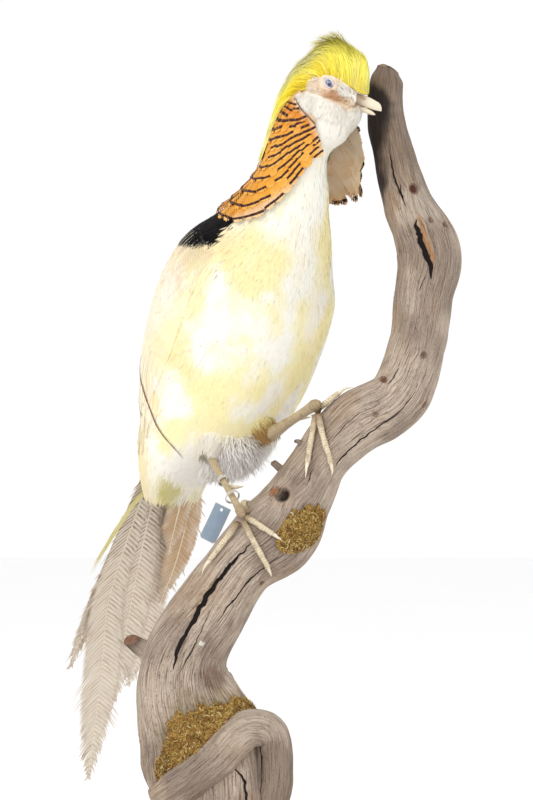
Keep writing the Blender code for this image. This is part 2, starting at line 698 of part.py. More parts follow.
# ================================ Ring, label and stand ===========================================
def hoop(name, centre, axis, radius, thickness, material, steps=16, sides=5):
    """A closed ring of round section."""
    axis = unit(np.asarray(axis, float))
    first = unit(np.cross(axis, (0.0, 1.0, 0.3)))
    second = np.cross(axis, first)
    around = np.linspace(0, 2 * math.pi, steps, endpoint=False)
    turn = np.linspace(0, 2 * math.pi, sides, endpoint=False)
    out = np.cos(around)[:, None] * first + np.sin(around)[:, None] * second
    reach = radius + thickness * np.cos(turn)
    grid = centre + reach[None, :, None] * out[:, None, :] + thickness * np.sin(turn)[None, :, None] * axis
    faces = []
    for i in range(steps):
        for j in range(sides):
            k, m = (j + 1) % sides, (i + 1) % steps
            faces.append((i * sides + j, i * sides + k, m * sides + k, m * sides + j))
    return object_from(name, grid.reshape(-1, 3), faces, material)


def build_label():
    foot, hock = (np.array(p) for p in SHANKS["right"])
    along_shank = unit(hock - foot)
    ring_at = foot + (hock - foot) * RING_SHARE
    loop_at = foot + (hock - foot) * LOOP_SHARE
    made = {
        "leg_ring": hoop("leg_ring", ring_at, along_shank, RING_RADIUS, RING_THICKNESS, "thread"),
        "tag_loop": hoop("tag_loop", loop_at, along_shank, LOOP_RADIUS, 0.7, "thread"),
    }
    bpy.ops.mesh.primitive_cube_add(size=1)
    tag = bpy.context.object
    tag.name = "tag"
    tag.data.materials.append(finish_material("card"))
    tag.scale = [side * MM for side in TAG_SIZE]
    tag.rotation_euler = (0, math.radians(TAG_TILT), math.radians(-12))
    tag.location = [c * MM for c in TAG_CENTRE]
    bpy.ops.object.transform_apply(location=True, rotation=True, scale=True)
    made["tag"] = tag
    return made


def build_stand():
    around = np.linspace(0, 2 * math.pi, 40, endpoint=False)
    levels = ((0.0, 0.0), (STAND_THICKNESS - STAND_BEVEL, 0.0), (STAND_THICKNESS, STAND_BEVEL))
    grid = np.array([[((STAND_HALF_LENGTH - inset) * math.cos(a), (STAND_HALF_WIDTH - inset) * math.sin(a), z)
                      for a in around] for z, inset in levels])
    return tube_object("stand_base", grid, "stand_wood")


def main():
    clear_scene()
    branch = build_branch()
    details = build_branch_details(branch)
    body = build_body()
    head = build_head(body["neck"])
    cape = build_cape()
    build_crest([head["head"], body["neck"], body["trunk"], cape["cape_right"], cape["cape_left"],
                 head["bill_upper"]])
    build_wings(cape)
    build_tail(body["rump"])
    perch = [branch["branch_perch"], branch["branch_lower"]]
    legs = build_legs(body, perch)
    build_moss(details["branch_curl"], [legs["toe_right_inner"], legs["claw_right_inner"]])
    build_vent([body["trunk"], body["rump"], legs["thigh_left"], legs["thigh_right"], legs["shank_left"],
                legs["shank_right"]])
    build_label()
    build_stand()


main()
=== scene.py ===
# %% [markdown]
# # A golden pheasant on a driftwood branch
#
# This is the yellow form of a golden pheasant cock, mounted as a museum specimen. It stands on
# a weathered branch, and the branch stands on a board. The solids of the part are loaded as a
# fixed frame. Everything made below lies on those solids, so that every piece sits where the
# real one does: one skin under the feathers, the feathers themselves as thousands of narrow
# locks, the horn of bill and claws, the eyes, the wood, the moss and the paper label.

import math

import bmesh
import bpy
import numpy as np
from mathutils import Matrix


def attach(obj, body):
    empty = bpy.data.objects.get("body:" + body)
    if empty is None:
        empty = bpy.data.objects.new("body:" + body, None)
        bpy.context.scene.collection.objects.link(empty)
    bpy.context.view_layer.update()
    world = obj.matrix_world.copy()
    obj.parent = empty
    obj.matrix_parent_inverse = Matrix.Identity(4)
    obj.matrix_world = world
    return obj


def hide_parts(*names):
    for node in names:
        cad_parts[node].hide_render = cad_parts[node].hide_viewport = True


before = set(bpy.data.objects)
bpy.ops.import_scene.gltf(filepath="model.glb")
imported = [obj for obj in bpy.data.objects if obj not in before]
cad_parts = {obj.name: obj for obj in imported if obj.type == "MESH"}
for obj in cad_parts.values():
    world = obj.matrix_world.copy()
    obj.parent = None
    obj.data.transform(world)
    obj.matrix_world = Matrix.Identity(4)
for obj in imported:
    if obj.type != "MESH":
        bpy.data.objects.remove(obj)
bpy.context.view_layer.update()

# %% [markdown]
# ## Camera, floor and light
#
# The specimen is seen level and from about three metres, with a long lens, so that near and far
# parts keep their true proportions. A tall frame fits the bird and its branch. A pale floor and a
# bright, even sky give the soft white light of a studio. One broad lamp from the upper left
# shapes the round body, and a weaker one fills in from the right.

# %% Camera
MM = 0.001
CAMERA_PLACE = (0.020, -3.040, 0.380)
LENS = 168.75

camera = bpy.data.objects.new("camera", bpy.data.cameras.new("camera"))
camera.data.lens = LENS
camera.data.sensor_width = 36.0
camera.data.clip_end = 20.0
camera.location = CAMERA_PLACE
camera.rotation_euler = (math.radians(90), 0, 0)
bpy.context.scene.collection.objects.link(camera)
bpy.context.scene.camera = camera
print("camera at", CAMERA_PLACE, "lens", LENS)

# %% Floor, sky and lamps
FLOOR_HALF = 6.0
SKY_STRENGTH = 1.02
LAMPS_AIM_AT = (0.02, 0.0, 0.38)
LAMPS = {  # place, size, strength in watts, colour
    "lamp_key": ((-1.3, -1.9, 2.1), 1.5, 25.0, (1.0, 0.985, 0.96)),
    "lamp_fill": ((1.9, -1.5, 1.2), 1.6, 6.0, (0.96, 0.98, 1.0)),
}


def aimed(place, target):
    """The turn that points an object's -Z from place to target."""
    way = np.array(target) - np.array(place)
    flat = math.hypot(way[0], way[1])
    return (math.atan2(flat, -way[2]), 0.0, math.atan2(way[1], way[0]) - math.pi / 2)


for name, (place, size, watts, tint) in LAMPS.items():
    light = bpy.data.lights.new(name, "AREA")
    light.shape, light.size, light.energy, light.color = "DISK", size, watts, tint
    lamp = bpy.data.objects.new(name, light)
    lamp.location = place
    lamp.rotation_euler = aimed(place, LAMPS_AIM_AT)
    bpy.context.scene.collection.objects.link(lamp)

world = bpy.data.worlds.new("studio")
world.use_nodes = True
sky = world.node_tree.nodes["Background"]
sky.inputs["Color"].default_value = (1.0, 1.0, 1.0, 1.0)
sky.inputs["Strength"].default_value = SKY_STRENGTH
bpy.context.scene.world = world
bpy.context.scene.view_settings.view_transform = "Standard"
print("lamps:", ", ".join(LAMPS))

# %% [markdown]
# ## Materials from expressions
#
# A finish here is a small network of nodes. Writing it as arithmetic keeps it readable: a
# `Number` wraps one output, and an expression such as `1 - dark * 0.4` adds the Math nodes. Every
# other node comes from `Finish.node`, which takes the kind, its settings and its inputs. Colours
# are only ever mixed by Mix nodes, because a Math node would turn them grey.


# %% One number of a material
class Number:
    """An output socket that can be added, multiplied and so on."""

    def __init__(self, finish, socket):
        self.finish, self.socket = finish, socket

    def math(self, operation, first, second=0.0):
        """A Math node on two numbers."""
        return self.finish.node("Math", {"operation": operation}, {0: first, 1: second})

    def __add__(self, other):
        return self.math("ADD", self, other)

    def __sub__(self, other):
        return self.math("SUBTRACT", self, other)

    def __rsub__(self, other):
        return self.math("SUBTRACT", other, self)

    def __mul__(self, other):
        return self.math("MULTIPLY", self, other)

    def size(self):
        """The number without its sign."""
        return self.math("ABSOLUTE", self)

    __radd__, __rmul__ = __add__, __mul__

    def above(self, low, high):
        """0 below low and 1 above high, smooth between."""
        settings = {"interpolation_type": "SMOOTHSTEP"}
        return self.finish.node("MapRange", settings, {"Value": self, "From Min": low, "From Max": high})


# %% One finish
class Finish:
    """A Principled material that is written line by line."""

    def __init__(self, name, **fixed):
        self.material = bpy.data.materials.new(name)
        self.material.use_nodes = True
        self.tree = self.material.node_tree
        self.shader = self.tree.nodes["Principled BSDF"]
        for socket, value in fixed.items():
            self.shader.inputs[socket.replace("_", " ")].default_value = value

    def node(self, kind, settings=None, inputs=None, output=0):
        """Adds a node: its settings first, then the value or link of each named input."""
        made = self.tree.nodes.new("ShaderNode" + kind)
        for key, value in (settings or {}).items():
            if key == "stops":
                while len(made.color_ramp.elements) < len(value):
                    made.color_ramp.elements.new(0.5)
                for stop, (place, colour) in zip(made.color_ramp.elements, value):
                    stop.position, stop.color = place, (*colour, 1.0)
            else:
                setattr(made, key, value)
        for key, value in (inputs or {}).items():
            self.feed(made.inputs[key], value)
        return Number(self, made.outputs[output])

    def feed(self, socket, value):
        """Links a Number to a socket, or sets the socket to a plain value or colour."""
        if isinstance(value, Number):
            self.tree.links.new(value.socket, socket)
        elif isinstance(value, tuple) and len(value) == 3 and socket.type == "RGBA":
            socket.default_value = (*value, 1.0)
        else:
            socket.default_value = value

    def place(self, factor=1.0):
        """Object coordinates, stretched by a factor or a triple of factors."""
        spot = self.node("TexCoord", output="Object")
        scale = factor if isinstance(factor, tuple) else (factor,) * 3
        return self.node("Mapping", None, {"Vector": spot, "Scale": scale})

    def attribute(self, name, output="Fac"):
        """A value that the mesh carries."""
        return self.node("Attribute", {"attribute_name": name}, output=output)

    def noise(self, vector, scale, detail=3.0, roughness=0.55):
        """Soft noise from 0 to 1 with scale features to the metre."""
        inputs = {"Vector": vector, "Scale": scale, "Detail": detail, "Roughness": roughness}
        return self.node("TexNoise", None, inputs)

    def mix(self, share, first, second, blend="MIX"):
        """A colour between two colours."""
        return self.node("Mix", {"data_type": "RGBA", "blend_type": blend},
                         {0: share, 6: first, 7: second}, output=2)

    def ramp(self, share, *stops):
        """A colour from stops of (place, colour)."""
        return self.node("ValToRGB", {"stops": stops}, {"Fac": share})

    def done(self, colour, roughness=None, height=None, bump=0.3, distance=0.0004, coat=None):
        """Feeds the shader and gives the material back."""
        self.feed(self.shader.inputs["Base Color"], colour)
        if roughness is not None:
            self.feed(self.shader.inputs["Roughness"], roughness)
        if coat is not None:
            self.feed(self.shader.inputs["Coat Weight"], coat)
        if height is not None:
            normal = self.node("Bump", None, {"Strength": bump, "Distance": distance, "Height": height})
            self.feed(self.shader.inputs["Normal"], normal)
        return self.material


# %% The floor's finish
def floor_finish():
    """Matt white paper with the faintest mottle."""
    finish = Finish("floor_paper", Roughness=0.9)
    mottle = finish.noise(finish.place(), 3.0)
    return finish.done(finish.mix(mottle, (0.93, 0.93, 0.93), (0.96, 0.96, 0.96)), height=mottle, bump=0.02)


# %% [markdown]
# ## Making meshes from arrays
#
# Shapes are worked out as whole arrays of points in millimetres. One helper turns such an array
# and its faces into a mesh, with colours, maps and other values on its points. When it is given
# a slot, the helper also hangs the piece on the body it rides on.

# %% Turn arrays into a piece
pieces_made = {}


def piece_from(name, points, faces, material, slot, colour=None, values=None, maps=None,
               normals=None, smooth=True, replaces=(), turned=None):
    """A mesh object from points (n, 3) in millimetres and a list of face arrays (m, 3) or (m, 4).

    normals are the points' own. Faces marked in turned are undersides and use their opposite."""
    faces = [np.asarray(f, np.int32) for f in (faces if isinstance(faces, list) else [faces])]
    corners = np.concatenate([f.ravel() for f in faces])
    sizes = np.concatenate([np.full(len(f), f.shape[1], np.int32) for f in faces])
    mesh = bpy.data.meshes.new(name)
    mesh.vertices.add(len(points))
    mesh.vertices.foreach_set("co", (np.asarray(points, np.float32) * MM).ravel())
    mesh.loops.add(len(corners))
    mesh.loops.foreach_set("vertex_index", corners)
    mesh.polygons.add(len(sizes))
    mesh.polygons.foreach_set("loop_start", (np.cumsum(sizes) - sizes).astype(np.int32))
    mesh.update(calc_edges=True)
    mesh.validate()
    for label, uv in (maps or {}).items():
        layer = mesh.uv_layers.new(name=label)
        layer.data.foreach_set("uv", np.asarray(uv, np.float32)[corners].ravel())
    if colour is not None:
        layer = mesh.color_attributes.new("tone", "FLOAT_COLOR", "POINT")
        rgba = np.concatenate([colour, np.ones((len(points), 1))], axis=1).astype(np.float32)
        layer.data.foreach_set("color", rgba.ravel())
    for label, value in (values or {}).items():
        value = np.asarray(value, np.float32)
        kind, field = ("FLOAT", "value") if value.ndim == 1 else ("FLOAT_VECTOR", "vector")
        mesh.attributes.new(label, kind, "POINT").data.foreach_set(field, value.ravel())
    mesh.polygons.foreach_set("use_smooth", np.full(len(sizes), smooth))
    if normals is not None:
        way = 1.0 if turned is None else np.repeat(np.where(turned, -1.0, 1.0), sizes)[:, None]
        mesh.normals_split_custom_set((normals[corners] * way).astype(np.float32))
    mesh.materials.append(material)
    made = bpy.data.objects.new(name, mesh)
    bpy.context.scene.collection.objects.link(made)
    if slot:
        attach(made, "root")
        if replaces:
            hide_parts(*replaces)
    triangles = int(np.sum(sizes - 2))
    pieces_made[name] = triangles
    print(f"{name}: {len(points)} points, {triangles} triangles")
    return made


def grid_faces(rows, columns):
    """Quads of a grid of points, joined round its columns."""
    i, j = np.meshgrid(np.arange(rows - 1), np.arange(columns), indexing="ij")
    k = (j + 1) % columns
    quads = np.stack([i * columns + j, i * columns + k, (i + 1) * columns + k, (i + 1) * columns + j], -1)
    return quads.reshape(-1, 4)


def tube(grid):
    """Points and faces of a closed tube, grid[ring, side], with a pole at each end.

    The sides run so that the faces look outwards; otherwise the order of each face is turned."""
    rings, sides = grid.shape[:2]
    points = np.concatenate([grid.reshape(-1, 3), grid[0].mean(0)[None], grid[-1].mean(0)[None]])
    j = np.arange(sides)
    k, top = (j + 1) % sides, (rings - 1) * sides
    quads = grid_faces(rings, sides)
    caps = np.concatenate([np.stack([np.full(sides, rings * sides), k, j], -1),
                           np.stack([np.full(sides, rings * sides + 1), top + j, top + k], -1)])
    a, b, c = (points[quads[:, m]] for m in (0, 1, 2))
    middle = np.repeat(grid.mean(1), sides, axis=0)[:len(quads)]
    outward = np.sum(np.cross(b - a, c - b) * (a - middle), axis=1)
    if np.sum(np.sign(outward)) < 0:
        quads, caps = quads[:, ::-1], caps[:, ::-1]
    return points, [quads, caps]


def full_turn(sides):
    """Equal steps of one turn, in radians."""
    return np.linspace(0, 2 * np.pi, sides, endpoint=False)


def for_tube(values):
    """Values given on a tube's grid, with the two poles' own added."""
    flat = values.reshape(-1, *values.shape[2:])
    return np.concatenate([flat, values[0].mean(0)[None], values[-1].mean(0)[None]])


floor_corners = np.array([(-1, -1, 0), (1, -1, 0), (1, 1, 0), (-1, 1, 0)]) * FLOOR_HALF / MM
floor = piece_from("floor", floor_corners, np.array([[0, 1, 2, 3]]), floor_finish(), None)

# %% [markdown]
# ## Curves, steps and soft noise
#
# All long shapes follow a smooth curve through a short table of stations. Natural things also
# need irregularity that is the same in every run. `noise` gives it: a random number sits at each
# point of a cubic lattice, and the value between them is blended smoothly.


# %% Curves and steps
def along(stations, t):
    """Catmull-Rom curve through the rows of a table at parameter t, where row i is at t = i."""
    t = np.asarray(t, float)
    rows = np.vstack([2 * stations[0] - stations[1], stations, 2 * stations[-1] - stations[-2]])
    i = np.clip(np.floor(t).astype(int), 0, len(stations) - 2)
    f = (t - i)[..., None]
    a, b, c, d = rows[i], rows[i + 1], rows[i + 2], rows[i + 3]
    return 0.5 * (2 * b + (c - a) * f + (2 * a - 5 * b + 4 * c - d) * f**2 + (3 * b - a - 3 * c + d) * f**3)


def unit(v):
    """v / |v|, row by row."""
    return v / np.maximum(np.linalg.norm(v, axis=-1, keepdims=True), 1e-9)


def dot(a, b):
    """a . b, row by row, kept as a column."""
    return np.sum(a * b, axis=-1, keepdims=True)


def path_length(points):
    """Length along a path (n, 3) up to each of its points."""
    return np.concatenate([[0], np.cumsum(np.linalg.norm(np.diff(points, axis=0), axis=1))])


def heading_of(stations, t):
    """Direction of the curve at t, from the points 0.02 before and after it."""
    end = len(stations) - 1
    low, high = np.clip(t - 0.02, 0, end), np.clip(t + 0.02, 0, end)
    return unit(along(stations, high)[..., :3] - along(stations, low)[..., :3])


def step(x, low, high):
    """0 below low, 1 above high, and 3f^2 - 2f^3 between. low may be the larger, to step down."""
    f = np.clip((x - low) / (high - low), 0, 1)
    return f * f * (3 - 2 * f)


def blend(share, first, second):
    """Between two colours (or arrays of them) by a share per point."""
    share = np.asarray(share)[..., None]
    return np.asarray(first) * (1 - share) + np.asarray(second) * share


# %% Noise
def lattice(i, j, k, seed):
    """A repeatable number from 0 to 1 at each whole-number place, from mixing the bits."""
    h = (i * 73856093) ^ (j * 19349663) ^ (k * 83492791) ^ (seed * 2971215073)
    h = ((h ^ (h >> 13)) * 1274126177) & 0xFFFFFFFF
    return ((h ^ (h >> 16)) & 0xFFFF) / 65535.0


def noise(points, size, seed=0, octaves=1):
    """Smooth noise about 0.5 with features of the given size, in the points' unit."""
    total, weight, amount = 0.0, 0.0, 1.0
    for octave in range(octaves):
        p = np.asarray(points, float) / (size / 2**octave) + 31.7 * octave
        whole = np.floor(p).astype(np.int64)
        f = p - whole
        f = f * f * (3 - 2 * f)
        value = 0.0
        for corner in range(8):
            di, dj, dk = corner & 1, corner >> 1 & 1, corner >> 2 & 1
            part = (f[..., 0] if di else 1 - f[..., 0]) * (f[..., 1] if dj else 1 - f[..., 1])
            part = part * (f[..., 2] if dk else 1 - f[..., 2])
            here = (whole[..., 0] + di, whole[..., 1] + dj, whole[..., 2] + dk)
            value = value + part * lattice(*here, seed + octave)
        total, weight, amount = total + amount * value, weight + amount, amount / 2
    return total / weight

# %% [markdown]
# ## The body's shape
#
# The body is a curve from the tail root to the top of the neck with an oval round each of its
# stations. A place on it is told by a station `s` and an angle from the belly line towards the
# bird's right. The same two numbers place the skin's markings and every feather's root, so skin
# and coat always agree.

# %% Body stations and frame
BODY = np.array([  # x, y, z, half width, half depth
    (-61.0, 120.0, 302.0, 30.0, 12.0), (-52.5, 87.0, 327.5, 38.0, 27.0),
    (-33.3, 65.0, 357.0, 51.5, 49.5), (-14.3, 45.0, 398.0, 64.0, 64.0),
    (1.1, 25.0, 442.4, 67.3, 69.4), (15.0, 5.0, 482.2, 63.2, 66.3),
    (29.2, -12.0, 513.8, 45.0, 49.6), (39.1, -26.0, 541.9, 30.4, 34.6),
    (46.4, -35.0, 566.2, 24.1, 27.5), (53.4, -40.0, 589.0, 24.5, 30.0),
    (61.2, -43.0, 606.0, 22.5, 29.0), (66.0, -44.0, 620.0, 19.5, 25.0)])
BREAST_HEADING, THROAT_HEADING = 50.0, 8.0  # degrees from +X towards -Y
NECK_TURN = (6.0, 10.5)                     # stations between which the neck turns


def body_frame(s):
    """Centre, right, dorsal direction and half sizes of the body at stations s."""
    found, tangent = along(BODY, s), heading_of(BODY, s)
    turned = step(s, *NECK_TURN)
    heading = np.radians(BREAST_HEADING + (THROAT_HEADING - BREAST_HEADING) * turned)
    back = np.stack([-np.cos(heading), np.sin(heading), 0 * heading], axis=-1)
    dorsal = unit(back - tangent * dot(back, tangent))
    return found[..., :3], np.cross(dorsal, -tangent), dorsal, found[..., 3], found[..., 4]


def body_point(s, angle, lift=0.0):
    """centre + (half width + lift) sin(angle) right - (half depth + lift) cos(angle) dorsal."""
    centre, right, dorsal, half_width, half_depth = body_frame(s)
    turn = np.radians(angle)
    across = (half_width + lift) * np.sin(turn)
    upward = -(half_depth + lift) * np.cos(turn)
    return centre + across[..., None] * right + upward[..., None] * dorsal


SPINE = np.linspace(0, 11, 441)


def body_place(points):
    """(s, angle) of points near the body: the nearest place of the spine, then the turn round it."""
    centre, right, dorsal, half_width, half_depth = body_frame(SPINE)
    squares = np.sum(points**2, 1)[:, None] - 2 * points @ centre.T + np.sum(centre**2, 1)
    near = np.argmin(squares, axis=1)
    away = points - centre[near]
    turn = np.arctan2(dot(away, right[near])[:, 0] / half_width[near],
                      -dot(away, dorsal[near])[:, 0] / half_depth[near])
    return SPINE[near], np.degrees(turn)


print("breast is", round(2 * BODY[:, 3].max(), 1), "mm across")

# %% [markdown]
# ## Markings of the plumage
#
# The breast and belly are pale lemon and cream, mottled softly with white and a little orange.
# The flank and the wing are more beige. The lower back is clear yellow, the mantle under the cape
# is black, and the vent is grey-white down. Each region is a formula of `s` and the angle, and
# the soft edges come from noise.

# %% Colours of the plumage
WHITE, LEMON, PALE_ORANGE = (0.965, 0.945, 0.86), (0.955, 0.87, 0.47), (0.95, 0.77, 0.40)
PINK_BEIGE, YELLOW, OLIVE = (0.90, 0.77, 0.58), (0.84, 0.64, 0.16), (0.55, 0.50, 0.15)
NECK_CREAM, RUMP_TAN = (0.88, 0.85, 0.76), (0.78, 0.66, 0.38)
GREY_DOWN, BLACK_PURPLE, GOLD = (0.87, 0.83, 0.78), (0.004, 0.002, 0.003), (0.78, 0.36, 0.04)


def mantle_share(s, side):
    """1 on the black patch between the shoulders, side being the angle's size."""
    edge = np.interp(s, (4.9, 5.0, 5.2, 5.45, 5.7, 5.98, 6.25), (150, 128, 111, 100, 95.5, 102, 100))
    return step(side, edge - 1.5, edge + 1.5) * step(s, 4.85, 4.95) * step(s, 6.9, 6.6)


def body_tone(s, angle, points):
    """Colour of the plumage at (s, angle), with noise taken at the points."""
    side = np.abs(angle)
    flow = np.stack([points[..., 0] + 0.4 * points[..., 1], points[..., 1], 0.7 * points[..., 2]], -1)
    wide, fine = noise(flow + 7.0, 23.0, 3, 3), noise(points, 11.0, 9, 2)
    warm = noise(flow + 55.0, 27.0, 5, 3)
    tone = blend(0.95 * step(wide + 0.2 * (fine - 0.5), 0.34, 0.62), WHITE, LEMON)
    flank = 0.25 + 0.75 * step(side, 40, 85) * step(s, 7.4, 6.0)
    tone = blend(0.9 * step(warm, 0.46, 0.68) * flank, tone, PALE_ORANGE)
    beige = (0.35 + 0.5 * step(fine, 0.4, 0.65)) * step(side, 72, 108) * step(s, 6.2, 5.2)
    tone = blend(beige, tone, PINK_BEIGE)
    tone = blend(0.75 * step(s, 6.9, 8.4), tone, WHITE)
    tone = blend(step(s + 0.8 * (fine - 0.5), 8.2, 9.4), tone, NECK_CREAM)
    lower = step(s, 3.0 + 0.5 * (fine - 0.5), 2.1) * step(side, 66, 34)
    tone = blend(0.8 * lower, tone, GREY_DOWN)
    tone = blend(0.75 * step(side, 138, 160) * step(s, 5.0, 4.2), tone, YELLOW)
    tone = blend(0.6 * step(s, 2.0, 1.0) * step(side, 75, 115), tone, LEMON)
    tone = blend(0.7 * step(s, 1.9, 1.0) * step(side, 60, 95) * step(side, 150, 120), tone, RUMP_TAN)
    tuft = step(np.hypot((s - 1.0) * 26, (side - 44) * 0.5) + 8 * (fine - 0.5), 14, 5)
    tone = blend(0.75 * tuft, tone, OLIVE)
    return blend(mantle_share(s, side), tone, BLACK_PURPLE)


def throat_hollow(s, angle):
    """Millimetres by which the throat is slimmer than its solid."""
    return 9.0 * np.exp(-((s - 8.7) / 0.75) ** 2) * step(np.abs(angle), 62, 22)


# %% [markdown]
# ## Skin
#
# On the real specimen one skin runs over head, neck, body and thighs. It is made here by joining
# copies of the frame's solids, wrapping them in one even mesh, and letting that mesh shrink by the
# depth of the coat: about two millimetres on the body, and almost nothing round the bare eye.

# %% Wrap the flesh in one mesh
REPLACED = ("head", "neck", "trunk", "rump", "thigh_left", "thigh_right")
FLESH = (*REPLACED, "wing_left", "wing_right", "vent_down")
GROW, VOXEL, SMOOTHINGS, COAT_DEPTH, FACE_DEPTH, RUMP_DEPTH = 0.5, 1.9, 6, 1.4, 0.35, 9.0
HEAD_CENTRE = np.array((69.0, -44.0, 628.0))
HEAD_PITCH, HEAD_YAW = -15.0, 6.0


def head_axes():
    """Columns are the head's forward, left and up directions."""
    yaw, pitch = math.radians(HEAD_YAW), math.radians(HEAD_PITCH)
    level = np.array((math.cos(yaw), -math.sin(yaw), 0.0))
    forward = level * math.cos(pitch) + np.array((0, 0, math.sin(pitch)))
    left = np.cross((0, 0, 1.0), level)
    return np.stack([forward, left, np.cross(forward, left)], axis=1)


HEAD_AXES = head_axes()


def read_mesh(mesh):
    """Points in millimetres and point normals of a mesh."""
    points, normals = (np.empty(len(mesh.vertices) * 3, np.float32) for _ in range(2))
    mesh.vertices.foreach_get("co", points)
    mesh.vertices.foreach_get("normal", normals)
    return points.reshape(-1, 3).astype(float) / MM, normals.reshape(-1, 3).astype(float)


def joined(names):
    """One loose object from copies of the named nodes, each grown a little so that they meet."""
    shapes = bmesh.new()
    for name in names:
        part = bmesh.new()
        part.from_mesh(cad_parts[name].data)
        bmesh.ops.remove_doubles(part, verts=part.verts, dist=2e-6)
        part.normal_update()
        copy = bpy.data.meshes.new("copy")
        part.to_mesh(copy)
        part.free()
        points, normals = read_mesh(copy)
        copy.vertices.foreach_set("co", ((points + GROW * normals) * MM).astype(np.float32).ravel())
        shapes.from_mesh(copy)
        bpy.data.meshes.remove(copy)
    mesh = bpy.data.meshes.new("joined")
    shapes.to_mesh(mesh)
    shapes.free()
    made = bpy.data.objects.new("joined", mesh)
    bpy.context.scene.collection.objects.link(made)
    return made


def wrapped(names, voxel, smoothings):
    """Points, normals and faces of an even skin round the named nodes."""
    shape = joined(names)
    shape.modifiers.new("wrap", "REMESH").voxel_size = voxel * MM
    calm = shape.modifiers.new("calm", "SMOOTH")
    calm.factor, calm.iterations = 0.5, smoothings
    made = bpy.data.meshes.new_from_object(shape.evaluated_get(bpy.context.evaluated_depsgraph_get()))
    points, normals = read_mesh(made)
    faces = np.empty(len(made.loops), np.int32)
    made.loops.foreach_get("vertex_index", faces)
    bpy.data.objects.remove(shape)
    return points, normals, faces.reshape(-1, 4)


def in_head(points):
    """Coordinates in the head's own frame: forward, left, up."""
    return (points - HEAD_CENTRE) @ HEAD_AXES


skin_points, skin_normals, skin_faces = wrapped(FLESH, VOXEL, SMOOTHINGS)
print("wrapped skin:", len(skin_points), "points")

# %% [markdown]
# ## Markings of the head
#
# The face is nearly bare round the eye, a pinkish tan. Cheek and throat carry short whitish down,
# the lores are pale with brown spots towards the gape, and the crown is covered by the yellow
# crest. These regions are told in the head's own frame: forward, left and up from its centre.

# %% Colours of the face
TAN_SKIN, ROSY_SKIN, CHEEK_DOWN = (0.78, 0.50, 0.30), (0.54, 0.24, 0.10), (0.88, 0.84, 0.75)
THROAT_DOWN, LORE, SPOT = (0.91, 0.88, 0.79), (0.96, 0.92, 0.83), (0.24, 0.11, 0.05)
EAR_TAN, GAPE_ORANGE = (0.92, 0.71, 0.52), (0.66, 0.40, 0.15)
HOCK_BROWN, LEFT_HOCK = (0.34, 0.20, 0.06), (17.0, 11.0, 356.0)
EYE_AT = np.array((0.6, 11.6, 4.4))
EYE_RADIUS = 4.6


def face_tone(local):
    """Colour of the head's skin and down at points in the head's frame."""
    x, z = local[:, 0], local[:, 2]
    soft, fine = noise(local, 6.0, 21, 2), noise(local, 1.8, 23, 2)
    tone = blend(step(soft, 0.35, 0.65), CHEEK_DOWN, THROAT_DOWN)
    ear = np.hypot((x + 12.0) / 1.8, z + 1.0)
    tone = blend(0.75 * step(ear + 9 * (fine - 0.5), 11.0, 2.5), tone, EAR_TAN)
    round_eye = np.hypot((x - EYE_AT[0] - 1.0) / 1.15, z - EYE_AT[2] + 1.0)
    tone = blend(0.8 * step(round_eye + 6 * (fine - 0.5), 13.0, 5.5), tone, EAR_TAN)
    below = np.hypot((x - 6.5) / 1.35, z + 5.0 + 0.25 * (x - 6.5))
    tone = blend(0.85 * step(below + 9 * (fine - 0.5), 8.5, 2.0), tone, TAN_SKIN)
    gape = np.hypot((x - 11.0) / 1.8, z + 4.4)
    tone = blend(0.75 * step(gape + 7 * (fine - 0.5), 5.6, 1.6), tone, ROSY_SKIN)
    corner = np.hypot((x - 20.0) / 1.6, z + 8.5)
    tone = blend(0.6 * step(corner + 6 * (fine - 0.5), 6.5, 2.0), tone, GAPE_ORANGE)
    lore = np.hypot((x - 16.0) / 1.3, z - 2.0)
    tone = blend(step(lore + 2 * (soft - 0.5), 6.0, 3.5), tone, LORE)
    spots = step(fine, 0.58, 0.66) * step(x, 0.0, 7.0) * step(z, -12.0, -6.0) * step(z, 6.5, 2.0)
    return blend(0.8 * spots, tone, SPOT)


def crown_share(local):
    """1 where the yellow crown begins, above a line that climbs from nape and forehead to over the eye."""
    brow = np.interp(local[:, 0], (-26, -16, -8, 2, 10, 18, 26), (-4.0, 6.5, 10.0, 11.5, 11.0, 7.5, 4.0))
    return step(local[:, 2], brow - 1.0, brow + 1.0)


def head_share(local):
    """1 on the head and 0 on the neck, across a band behind the cheek and under the throat."""
    return step(local[:, 0] + 0.30 * local[:, 2], -25.0, -19.0) * step(local[:, 2], -25.0, -17.0)


def cape_level(s, angle):
    """A number that falls along the cape's feathers, equal along each of its dark bars.

    The hem is at level 6. It climbs to the throat on the right, and less on the fanned left."""
    right = np.interp(angle, (34, 40, 51, 60, 69, 81, 92, 105, 128, 180),
                      (2.65, 2.33, 1.98, 1.68, 1.28, 0.83, 0.58, 0.28, 0.05, 0.0))
    left = np.interp(-angle, (40, 60, 80, 105, 140, 178), (1.85, 1.40, 1.10, 0.70, 0.17, 0.0))
    rise = np.where(np.asarray(angle) >= 0, right, left)
    return s - rise * (1 + 0.16 * np.clip(s - 7, 0, 4) * (np.asarray(angle) >= 0))


CAPE_FRONT = ((6, 8.0, 8.5, 9.1, 9.4, 9.75, 10.0, 10.5), (100, 45, 35, 47, 62, 80, 106, 134))


def cape_front(s):
    """The angle at which the cape begins, at a station."""
    return np.interp(s, *CAPE_FRONT)


def cape_share(s, angle):
    """1 under the barred cape, 0 off it."""
    side, front = np.abs(angle), cape_front(s)
    return step(cape_level(s, angle), 5.95, 6.1) * step(side, front - 3, front + 3)


